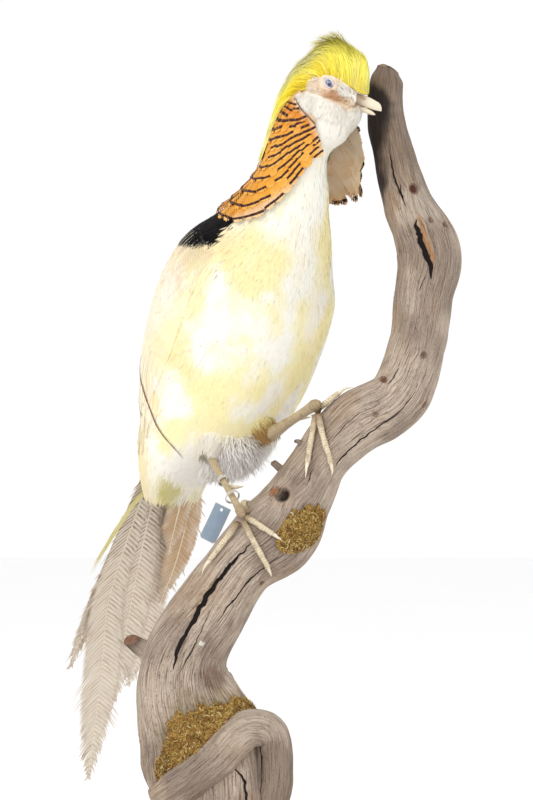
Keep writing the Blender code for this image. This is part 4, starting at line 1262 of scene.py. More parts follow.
coat, bars = Coat(), []
tip_s, tip_angle, gap, rng = cape_roots(313, 6.34, 8.2, 15.0, 13.0, (-128.0, -40.0))
add_cape(coat, bars, Ground(inside_left_cape, BODY[:, :3]), tip_s, tip_angle, gap, rng, underside_tone,
         (-0.2, 0.6), 20, wide=0.95)
coat.normals = [unit(n + np.array((0.2, -0.8, 0.5))) for n in coat.normals]
bars = [np.full(coat.count, FAR_FROM_BAR)]
cape_piece(coat, bars, "cape_underside_left", ())

# %% [markdown]
# ## Bill
#
# The bill is horn: a ridged upper half that hooks a little over the lower one, both pale ivory
# that darkens to brown at the base. It stands slightly open. Each half is a profile carried along
# the bill, narrow at the ridge and sharp at the cutting edge, with a nostril pressed in.

# %% Horn finish
def horn_finish(name, pale, dark, streaks=(60.0, 400.0, 400.0)):
    """Horn: pale at `wear` 1 and dark at 0, streaked along its growth, with a dull polish; `wear` also
    carries painted shade.
    """
    finish = Finish(name, Specular_IOR_Level=0.45, Coat_Roughness=0.25)
    streak = finish.noise(finish.place(streaks), 6.0, 4.0)
    fleck = finish.noise(finish.place(), 900.0, 3.0)
    share = finish.attribute("wear") + (streak - 0.5) * 0.45
    tone = finish.mix(share.above(0.0, 1.0), dark, pale)
    tone = finish.mix((fleck.above(0.60, 0.75)) * 0.35, tone, (0.30, 0.20, 0.12))
    return finish.done(tone, 0.34 + streak * 0.25, streak + fleck * 0.4, 0.3, 0.0004, 0.25 + fleck * 0.2)


IVORY, BILL_BROWN = (0.78, 0.69, 0.52), (0.30, 0.21, 0.14)
bill_horn = horn_finish("bill_horn", IVORY, BILL_BROWN)

# %% Bill shapes
UPPER_BILL = np.array([  # x, centre z, half width, half height
    (18.0, -1.2, 7.0, 5.4), (22.0, -1.6, 6.5, 5.2), (27.0, -1.9, 5.7, 4.8), (32.0, -1.9, 4.9, 4.5),
    (36.0, -2.3, 4.1, 4.2), (39.5, -2.9, 3.3, 3.8), (42.5, -3.3, 2.5, 3.3), (44.8, -4.2, 1.5, 2.2),
    (46.0, -5.4, 0.4, 0.6)])
LOWER_BILL = np.array([
    (17.0, -8.4, 6.4, 3.5), (22.0, -8.5, 5.8, 3.1), (27.0, -8.4, 5.0, 2.8), (32.0, -8.4, 4.1, 2.4),
    (36.0, -8.7, 3.1, 2.1), (39.5, -9.2, 2.0, 1.5), (42.0, -9.8, 0.4, 0.4)])


def from_head(local):
    """Head millimetres, ahead, left and up, to the model's own axes."""
    return HEAD_CENTRE + local @ HEAD_AXES.T


def bill_half(name, stations, arch, upper, replaces):
    """One half of the bill. Round the ring the width is hw sign(sin) |sin|^0.8, and the height is
    hh cos where it faces out, but only arch hh cos where it faces the other half."""
    rows, sides = 70, 40
    found = along(stations, np.linspace(0, len(stations) - 1, rows))
    turn = full_turn(sides)
    faces_up = 1 if upper else -1
    across = found[:, 2:3] * np.sign(np.sin(turn)) * np.abs(np.sin(turn)) ** 0.8
    outer = np.cos(turn) * faces_up
    height = found[:, 3:4] * np.where(outer > 0, np.abs(outer) ** 1.15, arch * outer) * faces_up
    x = np.repeat(found[:, :1], sides, axis=1)
    z = found[:, 1:2] + height
    nostril = np.exp(-((x - 29.0) / 2.4) ** 2 - ((z - 0.2 + 0.15 * (x - 29)) / 0.8) ** 2) * upper
    across = across * (1 - 0.16 * nostril)
    growth = 0.06 * np.sin(x * 4.0) * (1 - outer) * 0.3
    points, faces = tube(from_head(np.stack([x, across * (1 + growth), z], -1)))
    # The brown base is the horn's own; the nostril's dark is painted shade in its pit.
    wear = step(x, 22.5, 40.0) + 0.04 - 0.9 * nostril
    wear = wear - 0.25 * step(np.abs(across), 0.9, 0.2) * step(x, 36, 26)
    return piece_from(name, points, faces, bill_horn, "horn", values={"wear": for_tube(wear)},
                      replaces=replaces)


bill_half("bill_top", UPPER_BILL, 0.95, True, ("bill_upper",))
bill_half("bill_under", LOWER_BILL, 0.85, False, ("bill_lower",))

# %% [markdown]
# ## Eyes and lids
#
# The eye is a glassy ball with a blue-grey iris and a small dark pupil. A rim of thickened skin,
# bluish white, frames it in an almond that slants down towards the bill, and fine folds of bare
# skin run round it and die out in the cheek.

# %% Eyeballs
def eye_finish():
    """Iris and pupil from the angle off the gaze, under a clear wet coat."""
    finish = Finish("eye_glass", Coat_Weight=1.0, Coat_Roughness=0.03, IOR=1.45)
    off = finish.attribute("gaze")
    rays = finish.noise(finish.place(), 1600.0, 3.0)
    iris = finish.mix(rays, (0.10, 0.11, 0.20), (0.34, 0.37, 0.50))
    iris = finish.mix(off.above(0.45, 0.66), iris, (0.16, 0.15, 0.22))
    iris = finish.mix(off.above(0.80, 1.05), iris, (0.55, 0.54, 0.60))
    pupil = 1 - (off + (rays - 0.5) * 0.06).above(0.25, 0.33)
    return finish.done(finish.mix(pupil, iris, (0.008, 0.008, 0.014)), 0.12 + rays * 0.1)


eye_glass = eye_finish()
GAZE_AHEAD, GAZE_DOWN = 0.30, -0.24  # the pupil sits ahead of and below the ball's middle


def build_eye(side, sign):
    """A ball whose grid is centred on the gaze, with a cornea that bulges at its middle."""
    rows, sides = 40, 48
    gaze = unit(np.array((GAZE_AHEAD, sign * 1.0, GAZE_DOWN)))
    first = unit(np.cross(gaze, (0, 0, 1.0)))
    second = np.cross(gaze, first)
    off = np.linspace(0.02, np.pi - 0.02, rows)[:, None, None]
    turn = full_turn(sides)[None, :, None]
    way = np.cos(off) * gaze + np.sin(off) * (np.cos(turn) * first + np.sin(turn) * second)
    bulge = 1 + 0.05 * np.exp(-(off / 0.5) ** 2)
    centre = EYE_AT * (1, sign, 1)
    points, faces = tube(from_head(centre + EYE_RADIUS * bulge * way))
    values = {"gaze": for_tube(np.repeat(off[:, :, 0], sides, axis=1))}
    return piece_from("eyeball_" + side, points, faces, eye_glass, "glass_eye", values=values,
                      replaces=("eye_" + side,))


for side, sign in (("right", -1), ("left", 1)):
    build_eye(side, sign)

# %% Lids
HEAD = np.array([  # x, centre z, half width, half height
    (-25.0, 2.0, 5.0, 6.0), (-20.0, 1.5, 10.5, 12.5), (-11.0, 0.0, 14.5, 18.5), (0.0, -1.0, 15.5, 20.5),
    (10.0, -2.5, 14.2, 18.5), (18.0, -4.0, 11.4, 14.0), (23.0, -4.5, 9.0, 10.5), (26.0, -5.0, 6.5, 7.0)])


def head_half_width(x, z):
    """Half width of the head at x and z, from its oval there."""
    found = along(HEAD, np.interp(x, HEAD[:, 0], np.arange(8.0)))
    return found[..., 2] * np.sqrt(np.clip(1 - ((z - found[..., 1]) / found[..., 3]) ** 2, 0.02, 1))


LID_SLANT, LID_BLUE, LID_BARE, LID_INNER = -38, (0.78, 0.77, 0.82), (0.72, 0.57, 0.49), (0.22, 0.19, 0.24)


def build_lids(side, sign):
    """A ring of skin from the almond opening to the cheek.

    Ring r = 0 lies on the ball and r = 1 on the head. In between the depth is a blend of both,
    plus a rounded rim near r = 0.13 and fading folds sin(22 r)."""
    rows, sides = 30, 64
    r = np.linspace(0, 1, rows)[:, None]
    turn = full_turn(sides)[None, :]
    slant = math.radians(LID_SLANT)
    long = 4.0 + (8.4 - 4.0) * r
    tall = 2.2 + (7.2 - 2.2) * r
    a = long * np.cos(turn)
    b = tall * np.sin(turn) * (1 - 0.25 * (1 - r) * np.cos(turn) ** 2)
    x = EYE_AT[0] + 0.4 + a * math.cos(slant) - b * math.sin(slant)
    z = EYE_AT[2] + a * math.sin(slant) + b * math.cos(slant)
    on_ball = (EYE_RADIUS + 0.25) ** 2 - (x - EYE_AT[0]) ** 2 - (z - EYE_AT[2]) ** 2
    on_ball = EYE_AT[1] + np.sqrt(np.clip(on_ball, 0.1, None))
    depth = on_ball + (head_half_width(x, z) - FACE_DEPTH - 0.1 - on_ball) * step(r, 0.05, 0.55)
    folds = 0.16 * np.sin(22 * r + 0.8 * np.sin(3 * turn)) * step(r, 0.2, 0.35) * (1 - r)
    depth = depth + 0.75 * np.exp(-((r - 0.13) / 0.08) ** 2) + folds
    depth = depth - 0.9 * step(r, 0.88, 1.0) - 0.5 * step(r, 0.06, 0.0)
    y = sign * depth
    grid = from_head(np.stack([x, y, z], -1))
    tone = blend(step(r + 0 * turn, 0.16, 0.30), LID_BLUE, LID_BARE)
    nearby = face_tone(in_head(grid).reshape(-1, 3)).reshape(grid.shape)
    # Painted shade: the outer ring darkens to match the shaded down round it.
    nearby = nearby * (1 - 0.05 * step(r, 0.5, 1.0))[..., None]
    tone = blend(step(r + 0.5 * (noise(grid, 2.0, 81, 2) - 0.5), 0.25, 0.60), tone, nearby)
    tone = blend(step(r + 0 * turn, 0.05, 0.0), tone, LID_INNER)
    quads = grid_faces(rows, sides)
    if sign > 0:
        quads = quads[:, ::-1]
    return piece_from("lids_" + side, grid.reshape(-1, 3), quads, skin.data.materials[0], "plumage_cream",
                      tone.reshape(-1, 3))


for side, sign in (("right", -1), ("left", 1)):
    build_lids(side, sign)

# %% [markdown]
# ## Down on the face and throat
#
# Cheeks, ears and throat carry the smallest feathers of the bird, a few millimetres long. They
# start behind the bill and lie back and down. Near the eye they thin out to bare skin.

# %% Face down
def head_point(t, angle, lift=0.0):
    """Round the head's oval at station t: hw sin(angle) to the left, -hh cos(angle) up."""
    found = along(HEAD, t)
    turn = np.radians(angle)
    return from_head(np.stack([found[..., 0] + 0 * turn, (found[..., 2] + lift) * np.sin(turn),
                               found[..., 1] - (found[..., 3] + lift) * np.cos(turn)], -1))


head_centres = np.stack([HEAD[:, 0], 0 * HEAD[:, 0], HEAD[:, 1]], axis=1)
head_ground = Ground(head_point, head_centres)
face_silk = feather_finish("face_down", 0.7, 0.06, 0.05)


def build_face():
    """Down on the head's oval. The nearer the eye, the more of it is left out."""
    t, angle, rng = head_ground.spread(0.8, 6.9, 1.15, 0.72, 401, (-140.0, 140.0))
    root = head_point(t, angle)
    local = in_head(root)
    from_eye = np.hypot((local[:, 0] - EYE_AT[0] - 0.5) / 1.15, local[:, 2] - EYE_AT[2])
    thin = rng.uniform(0, 1, len(t)) < step(from_eye, 4.5, 9.5) + 0.04
    keep = thin & (crown_share(local + (0, 0, 2.6)) < 0.5) & (from_eye > 5.6) & (local[:, 0] < 21.5)
    t, angle, local, from_eye = t[keep], angle[keep], local[keep], from_eye[keep]
    n = len(t)
    length = np.interp(local[:, 0], (-22, -5, 8, 20), (5.2, 4.2, 2.8, 1.9)) * rng.uniform(0.7, 1.25, n)
    length = length * np.interp(from_eye, (6, 12), (0.55, 1.0))
    lift = np.array([-0.6, 0.05, 0.5, 0.75]) + rng.uniform(-0.1, 0.5, (n, 1)) * np.array([0, 0.3, 0.7, 1.0])
    drift = -np.sign(angle) * rng.uniform(1, 9, n) * length / 4
    path, out = head_ground.lie(t, angle, length, lift, drift, rng.normal(0, 4, n))
    widths = 0.30 * rng.uniform(0.7, 1.3, (n, 1)) * np.array([0.8, 1.0, 0.7, 0.0])
    tones = shaded(face_tone(local), 4, 0.90, 1.06, rng, 0.10)
    return locks_piece("face_feathers", face_silk, "plumage_cream",
                       (path, out, widths, 0.1 + 0 * length, tones, head_ground.root(t, angle)))


build_face()

# %% Chin
CHIN_MIDDLE = np.array((18.0, 0.0, -21.5))
CHIN_WAY, CHIN_OUT = np.array((-0.525, 0.0, -0.852)), np.array((0.852, 0.0, -0.525))
CHIN_LONG, CHIN_WIDE, CHIN_DEEP = 19.0, 11.5, 10.0


def chin_point(t, angle, lift=0.0):
    """An oval from under the bill (t = 0) to the throat (t = 8), angle 0 facing forwards and down."""
    a, turn = np.pi * (0.05 + 0.9 * np.asarray(t) / 8.0), np.radians(angle)
    across = np.sin(a) * (CHIN_WIDE + lift) * np.sin(turn)
    ahead = np.sin(a) * (CHIN_DEEP + lift) * np.cos(turn)
    local = -(CHIN_LONG * np.cos(a))[..., None] * CHIN_WAY + ahead[..., None] * CHIN_OUT
    return from_head(CHIN_MIDDLE + local + across[..., None] * np.array((0.0, 1.0, 0.0)))


def build_chin():
    """The loose fluff under the bill: a lining and small locks that lie towards the throat."""
    stations = np.arange(9.0)
    ground = Ground(chin_point, chin_point(stations, 0 * stations, -9.0), (0.93, 0.05), (0.05, 0.9))
    t, angle = np.meshgrid(np.linspace(0, 8, 40), np.linspace(-180, 180, 48, endpoint=False), indexing="ij")
    grid = chin_point(t, angle, -0.9)
    # The lining is a little darker than the face: painted shade under the down.
    tone = face_tone(in_head(grid).reshape(-1, 3)).reshape(grid.shape) * 0.95
    points, faces = tube(grid)
    piece_from("chin_skin", points, faces, skin.data.materials[0], "plumage_cream", for_tube(tone),
               maps={"OFBake": for_tube(ground.root(t, angle))})
    t, angle, rng = ground.spread(0.2, 7.8, 1.2, 0.7, 411, (-140.0, 140.0))
    n = len(t)
    length = rng.uniform(4.0, 7.5, n) * np.interp(t, (0, 3, 8), (0.5, 1.0, 1.25))
    lift = np.array([-0.7, 0.1, 0.6, 0.8, 0.9]) + rng.uniform(-0.3, 1.1, (n, 1)) * np.linspace(0, 1, 5)
    path, out = ground.lie(np.minimum(t, 7.2), angle, np.minimum(length, ground.length[-1] * 0.4), lift,
                           rng.normal(0, 8, n), rng.normal(0, 6, n), course=1.0)
    widths = 0.34 * rng.uniform(0.7, 1.4, (n, 1)) * np.array([0.8, 1.0, 0.9, 0.6, 0.0])
    tone = face_tone(in_head(path[:, 2]))
    tones = shaded(tone, 5, 0.86, 1.04, rng, 0.07)
    return locks_piece("chin_feathers", face_silk, "plumage_cream",
                       (path, out, widths, 0.1 + 0 * length, tones, ground.root(t, angle)))


build_chin()

# %% [markdown]
# ## Crest
#
# The crest is the cock's crown: long, silky, clear yellow strands without barbs that hold
# together. They rise from the forehead and the brow, sweep up and back over the head, and hang
# down the nape onto the cape. Layers of narrow locks follow a curved roll of that shape. Those on
# top stand off a little, and the last of them are wispy.

# %% Crest
CROWN = np.array([  # foot x and z, ridge x and z, half width, from the forehead to the nape
    (100.8, 623.6, 101.8, 629.5, 4.5), (95.3, 625.2, 101.4, 643.3, 7.5), (87.4, 630.7, 97.0, 654.3, 9.5),
    (78.7, 631.5, 86.0, 662.2, 11.5), (70.8, 635.0, 74.0, 666.6, 13.2), (62.2, 633.0, 61.4, 662.2, 13.8),
    (53.5, 628.3, 51.1, 652.7, 14.2), (44.8, 625.2, 42.9, 645.4, 14.6), (39.3, 620.4, 36.2, 634.0, 15.0),
    (32.2, 612.6, 30.2, 621.0, 14.0), (27.0, 600.5, 24.2, 602.5, 11.5), (23.0, 591.2, 20.8, 592.2, 8.5),
    (17.8, 578.0, 16.4, 578.8, 4.0)])
CREST_LIGHT, CREST_DEEP, CREST_PALE = (0.97, 0.87, 0.14), (0.97, 0.70, 0.01), (0.95, 0.91, 0.42)
# The olive below is painted shade on top of the crest, and the grey is a painted shadow band behind it.
CREST_SHADE_OLIVE, CREST_SHADOW_GREY = (0.50, 0.45, 0.03), (0.64, 0.61, 0.33)
CREST_EDGE, CREST_LINING = 92, -1.3  # the lining's last angle at the sides, and how deep it lies


def middle_plane(x, z):
    """Points of the plane between the two sides of the head."""
    return np.stack([x, HEAD_CENTRE[1] - math.tan(math.radians(HEAD_YAW)) * (x - HEAD_CENTRE[0]), z], -1)


def crest_point(t, angle, lift=0.0):
    """foot + (h + lift) cos(angle) u + (w + lift) sin(angle) left, where h u runs from foot to ridge."""
    found = along(CROWN, t)
    foot, ridge = middle_plane(found[..., 0], found[..., 1]), middle_plane(found[..., 2], found[..., 3])
    high = np.linalg.norm(ridge - foot, axis=-1)
    turn = np.radians(angle)
    across, rise = (found[..., 4] + lift) * np.sin(turn), (high + lift) * np.cos(turn)
    return foot + across[..., None] * HEAD_AXES[:, 1] + rise[..., None] * unit(ridge - foot)


crest_ground = Ground(crest_point, middle_plane(CROWN[:, 2], CROWN[:, 3]))


def crest_tone(t, angle, points):
    """Clear yellow, deep at the brow, painted olive shade on top, a painted grey shadow behind, pale down the
    nape.
    """
    soft, side = noise(points, 9.0, 91, 2), np.abs(angle)
    tone = blend(step(side + 30 * (soft - 0.5), 50, 85), CREST_LIGHT, CREST_DEEP)
    olive = step(side + 20 * (soft - 0.5), 56, 20) * step(t, 1.8, 2.8) * step(t, 5.0, 4.2)
    tone = blend(0.8 * olive, tone, CREST_SHADE_OLIVE)
    grey = step(side + 20 * (soft - 0.5), 64, 38) * step(t, 4.2, 5.2) * step(t, 8.4, 7.2)
    tone = blend(0.8 * grey, tone, CREST_SHADOW_GREY)
    tone = blend(0.7 * step(t, 8.2, 10.0), tone, CREST_PALE)
    return blend(0.4 * step(soft, 0.45, 0.8), tone, CREST_PALE)


def crest_layer(coat, low, high, row_gap, gap, length, width, lifts, wild, seed, span=(-104.0, 104.0)):
    """Locks that leave the brow, climb towards the ridge and bend back: least steep behind the eye."""
    t, angle, rng = crest_ground.spread(low, high, row_gap, gap, seed, span)
    angle = angle * np.interp(t, (0, 2.5, 4.5, 6.5, 8.5), (0.84, 0.95, 0.90, 0.86, 1.0))
    n = len(t)
    longer = np.interp(t, (0, 1.5, 3.0, 5.0, 9.0, 12.0), (0.45, 0.6, 0.85, 1.0, 1.1, 0.8))
    own = length * rng.uniform(0.65, 1.25, n) * longer
    own = np.minimum(own, crest_ground.length[-1] + 3 - np.interp(t, crest_ground.t, crest_ground.length))
    climb = np.interp(t, (0, 2, 4, 6, 8, 12), (0.85, 0.72, 0.48, 0.30, 0.14, 0.05))
    lift = np.asarray(lifts) + rng.normal(0, 0.25 + wild, (n, 1)) * np.linspace(0, 1, len(lifts)) ** 1.5
    path, out = crest_ground.lie(t, angle, own, lift, -1.5 * climb * angle + rng.normal(0, 3 + 5 * wild, n),
                                 0.5 * climb * angle + rng.normal(0, 3, n), course=1.0)
    taper = np.interp(np.linspace(0, 1, len(lifts)), (0, .25, .6, 1), (.7, 1, .7, 0))
    widths = width * rng.uniform(0.6, 1.3, (n, 1)) * taper
    tone = crest_tone(t + 0.3 * own / crest_ground.rate(t), angle * (1 - 0.4 * climb), path[:, 2])
    coat.add(path, out, widths, 0.3 * widths.max(axis=1), shaded(tone, len(lifts), 0.78, 1.06, rng, 0.12),
             crest_ground.root(t, angle), 0.55)


def build_crest():
    """Four layers, from the sleek base to the tuft that stands up over the forehead."""
    silk_yellow = feather_finish("crest_silk", 0.42, 0.10, 0.15)
    coat = Coat()
    crest_layer(coat, 0.0, 11.6, 2.4, 0.95, 22.0, 0.60, (-1.6, -0.7, -0.35, -0.22, -0.2), 0.08, 501)
    crest_layer(coat, 0.0, 11.3, 3.2, 1.25, 25.0, 0.48, (-1.2, 0.0, 0.4, 0.6, 0.7), 0.3, 502)
    crest_layer(coat, 1.2, 8.0, 4.4, 2.0, 24.0, 0.36, (-1.0, 0.8, 1.7, 2.3, 2.8), 1.0, 503, (-62.0, 62.0))
    crest_layer(coat, 2.9, 4.3, 2.0, 0.9, 19.0, 0.42, (-1.0, 1.0, 2.6, 4.4, 6.4, 8.6), 1.2, 504,
                (-30.0, 30.0))
    return coat.piece("crest_feathers", silk_yellow, "plumage_yellow", ("crest",))


build_crest()


def crest_lining():
    """A plain cap in the crest's marking, darkened as painted shade, so that no light shows between the
    strands.
    """
    rows, sides = 70, 48
    turns = np.linspace(-180, 180, sides, endpoint=False)
    t, angle = np.meshgrid(np.linspace(0.05, 11.9, rows), turns, indexing="ij")
    grid = crest_point(t, np.clip(angle, -CREST_EDGE, CREST_EDGE), CREST_LINING)
    edges = [crest_point(t, side * CREST_EDGE + 0 * t, CREST_LINING) for side in (1, -1)]
    middle = 0.5 * (edges[0] + edges[1])
    under = np.where(np.abs(angle) > CREST_EDGE, np.abs(np.sin(np.radians(angle))), 1.0)[..., None]
    grid = middle + (grid - middle) * under
    points, faces = tube(grid)
    tone = crest_tone(t, angle, grid) * 0.85
    return piece_from("crest_skin", points, faces, skin.data.materials[0], "plumage_yellow", for_tube(tone),
                      maps={"OFBake": for_tube(crest_ground.root(t, angle))})


crest_lining()

# %% [markdown]
# ## Down at the vent and on the thighs
#
# Between the legs the belly ends in loose grey-white down that hangs out beyond the sleek
# feathers. The thighs are hidden by longer silky feathers of the belly's own colours, which hang
# over the top of the scaled leg. They turn brown where they meet it.

# %% Vent down
VENT_CENTRE, VENT_RADII = np.array((-7.0, 27.0, 346.0)), np.array((22.0, 21.0, 17.0))
HANG = unit(np.array((0.30, -0.10, -0.95)))
DOWN_WHITE, DOWN_GREY, DOWN_CREAM = (0.95, 0.92, 0.90), (0.82, 0.77, 0.76), (0.90, 0.86, 0.72)


DOWN_LIT = np.array((0.0, -0.3, 0.9))  # loose down is lit as if it faced up and forwards


def build_vent():
    """Locks on an oval ball: each starts outwards along the ball's normal and bends to hang."""
    rng = np.random.default_rng(601)
    n = 2400
    up = rng.uniform(-1.0, 0.45, n)
    turn = rng.uniform(0, 2 * np.pi, n)
    flat = np.sqrt(1 - up**2)
    way = np.stack([flat * np.cos(turn), flat * np.sin(turn), up], 1)
    root = VENT_CENTRE + VENT_RADII * 0.86 * way
    out = unit(way / VENT_RADII)
    length = rng.uniform(9, 19, n)
    share = np.linspace(0, 1, 5)
    lean = unit(HANG + 0.35 * rng.standard_normal((n, 3)))
    outwards = out[:, None] * (0.42 * np.sin(share * 1.5))[None, :, None]
    downwards = lean[:, None] * (share**1.3 * 0.75)[None, :, None]
    path = root[:, None] + length[:, None, None] * (outwards + downwards)
    widths = rng.uniform(0.35, 0.8, (n, 1)) * np.array([0.9, 1.0, 0.85, 0.5, 0.0])
    tone = blend(rng.uniform(0, 1, n), DOWN_WHITE, DOWN_GREY)
    tone = blend(0.5 * step(up, -0.2, 0.4), tone, DOWN_CREAM)
    place = np.stack([0.10 + 0.16 * (up + 1) / 2, turn / (2 * np.pi)], 1)
    lit = np.repeat(unit(out + DOWN_LIT)[:, None], 5, 1)
    tones = shaded(tone, 5, 0.94, 1.04, rng, 0.04)
    return locks_piece("vent_feathers", silk, "plumage_cream",
                       (path, lit, widths, 0.15 + 0 * length, tones, place, 0.8), ("vent_down",))


build_vent()

# %% Thigh coats
THIGHS = {  # middle of the top, hock end, radius at the top and at the hock
    "right": ((-16.0, 22.0, 368.0), (-27.0, 6.5, 337.0), 20.0, 9.0),
    "left": ((6.0, 10.0, 380.0), (20.0, 12.0, 353.0), 16.0, 9.5)}
THIGH_TONES = {"right": (WHITE, 0.3), "left": ((0.66, 0.52, 0.20), 0.9)}  # lower half, share of brown
THIGH_BROWN = (0.26, 0.13, 0.045)


def build_thigh(side, seed):
    """Silky locks on a cone from the belly to the hock."""
    top, hock, wide, narrow = THIGHS[side]
    table = np.linspace(top, hock, 6)
    radii = wide + (narrow - wide) * np.linspace(0, 1, 6) ** 0.8
    table = np.concatenate([table, radii[:, None]], axis=1)
    way = unit(np.array(hock) - np.array(top))
    first = unit(np.cross(way, (0.0, 1.0, 0.2)))
    second = np.cross(way, first)

    def point(t, angle, lift=0.0):
        found, turn = along(table, t), np.radians(angle)
        reach = found[..., 3] + lift
        ahead, beside = (reach * np.cos(turn))[..., None], (reach * np.sin(turn))[..., None]
        return found[..., :3] + ahead * first + beside * second

    ground = Ground(point, table[:, :3], (0.02, 0.0), (0.2, 0.99))
    t, angle, rng = ground.spread(0.0, 4.8, 1.8, 0.95, seed)
    n = len(t)
    length = rng.uniform(10, 17, n) * np.interp(t, (0, 5), (1.2, 0.75))
    lift = np.array([-2.0, -0.7, 0.1, 0.2, 0.0]) + rng.uniform(0, 0.5, (n, 1)) * np.linspace(0, 1, 5)
    path, out = ground.lie(t, angle, length, lift, rng.normal(0, 10, n), rng.normal(0, 6, n), course=1.0)
    widths = rng.uniform(0.4, 0.75, (n, 1)) * np.array([0.8, 1.0, 0.8, 0.5, 0.0])
    lower, brown = THIGH_TONES[side]
    tone = blend(step(t + rng.normal(0, 0.4, n), 0.5, 2.6), LEMON, lower)
    tone = blend(brown * step(t + rng.normal(0, 0.4, n), 1.4, 3.4), tone, THIGH_BROWN)
    lit = unit(out + np.array((0.0, -0.2, 0.5)))
    tones = shaded(tone, 5, 0.93, 1.03, rng, 0.03)
    return locks_piece("thigh_feathers_" + side, silk, "plumage_cream",
                       (path, lit, widths, 0.2 + 0 * length, tones, ground.root(t, angle), 0.85))


for side, seed in (("right", 611), ("left", 612)):
    build_thigh(side, seed)

# %% Loose belly feathers
def build_skirt():
    """Long locks rooted on the lower belly, which leave along it and then hang over the legs.

    point = root + length (share flow + share^2 hang), with flow the way to the tail."""
    s, angle, rng = body_ground.spread(1.9, 2.7, 2.2, 1.0, 621, (-62.0, 24.0))
    n = len(s)
    length = rng.uniform(16, 27, n) * np.interp(s, (1.9, 2.4, 2.9), (0.95, 1.1, 1.0))
    m = np.linspace(0, 1, 5)
    base, out = body_point(s, angle, -1.6), unit(body_point(s, angle, 1.0) - body_point(s, angle))
    flow = unit(body_point(s - 0.1, angle) - body_point(s, angle))
    hang = unit(np.array((0.05, -0.10, -0.95)) + 0.12 * rng.standard_normal((n, 3)) + 0.25 * out)
    leaving = (m * (1 - 0.3 * m))[None, :, None] * (0.95 * flow + 0.16 * out)[:, None]
    hanging = (0.3 * m**2)[None, :, None] * hang[:, None]
    path = base[:, None] + length[:, None, None] * (leaving + hanging)
    widths = rng.uniform(0.6, 1.2, (n, 1)) * np.array([0.8, 1.0, 0.9, 0.55, 0.0])
    tone = blend(0.55 * step(s, 2.9, 2.2) * step(np.abs(angle), 60, 20), body_tone(s, angle, base), GREY_DOWN)
    tone = blend(0.6 + 0 * s, tone, (0.95, 0.93, 0.90))
    lit = np.repeat(unit(out + DOWN_LIT)[:, None], 5, 1)
    tones = shaded(tone, 5, 0.98, 1.01, rng, 0.015)
    return locks_piece("belly_skirt", silk, "plumage_cream",
                       (path, lit, widths, 0.10 + 0 * length, tones, body_ground.root(s, angle), 0.85))


build_skirt()

# %% [markdown]
# ## Tail
#
# Seven long feathers make the tail. The middle one is the longest: a pale shaft with cream vanes
# that are crossed by slanting tan lines, so that the two sides meet in a row of arrowheads. The
# others are plainer and end sooner, some of them cinnamon. The vanes are barbs of one lock each,
# and they come loose towards the tip.

# %% The tail's fan
TAIL_ROOT = np.array((-60.0, 104.0, 322.0))
TAIL_AXIS, TAIL_LEFT = np.array((-0.2392, 0.5083, -0.8272)), np.array((0.8218, 0.5598, 0.1059))
TAIL_BACK = np.cross(TAIL_LEFT, TAIL_AXIS)
TAIL_LAYER, TAIL_BOW, TAIL_ROOF, TAIL_REACH = 2.8, 9.0, 190.0, 330.0
TAIL_BLADES = {  # rows of down, across (+ to the left), half width; then the layer towards the back
    "left_short": (((8, 16, 9), (30, 18.5, 12), (60, 21, 11.5), (94, 24, 1.2)), -1, "cinnamon"),
    "left_plain": (((8, 22, 9), (50, 31.5, 14), (103, 35.5, 12), (149, 32.5, 1.2)), 0, "cinnamon"),
    "middle": (((-30, -20, 6), (8, -19.5, 9.5), (54, -19.5, 14.5), (141, -20, 20), (208, -9, 20.5),
                (274, -1, 15), (337, 4, 1.5)), 1, "lined"),
    "left_long": (((-26, 2, 9), (8, 4, 14), (84, 14.5, 21), (151, 23.5, 19), (205, 29, 14),
                   (243, 26, 1.5)), 2, "lined"),
    "right_long": (((-30, -14, 7), (8, -14, 9), (80, -15, 10), (154, -26, 11),
                    (213, -41, 1.5)), 3, "lined"),
    "inner": (((-20, -8, 8), (40, -4, 16), (120, 4, 21), (180, 9, 19), (228, 11, 12),
               (268, 12, 1.5)), 1.6, "lined"),
    "outer": (((-20, -13, 6), (40, -17, 8), (110, -26, 10), (160, -34, 9), (196, -43, 1.5)), 2.4, "lined"),
}
TAIL_NODES = ("left_short", "left_plain", "middle", "left_long", "right_long")
TAIL_CREAM, TAIL_TAN, TAIL_BROWN = (0.93, 0.85, 0.73), (0.54, 0.39, 0.27), (0.24, 0.16, 0.11)
CINNAMON, QUILL_PALE = (0.64, 0.44, 0.26), (0.86, 0.78, 0.62)
LINE_GAP, BARB_GAP = 4.6, 1.0  # millimetres between the dark lines and between the barbs


def tail_point(down, across, rise=0.0):
    """Root + down axis + across left + lift back.

    lift = bow 4 h (1 - h) - across^2 / (2 roof) + rise, with h = down / reach."""
    h = down / TAIL_REACH
    lift = TAIL_BOW * 4 * h * (1 - h) - across**2 / (2 * TAIL_ROOF) + rise
    down, across, lift = down[..., None], across[..., None], lift[..., None]
    return TAIL_ROOT + down * TAIL_AXIS + across * TAIL_LEFT + lift * TAIL_BACK


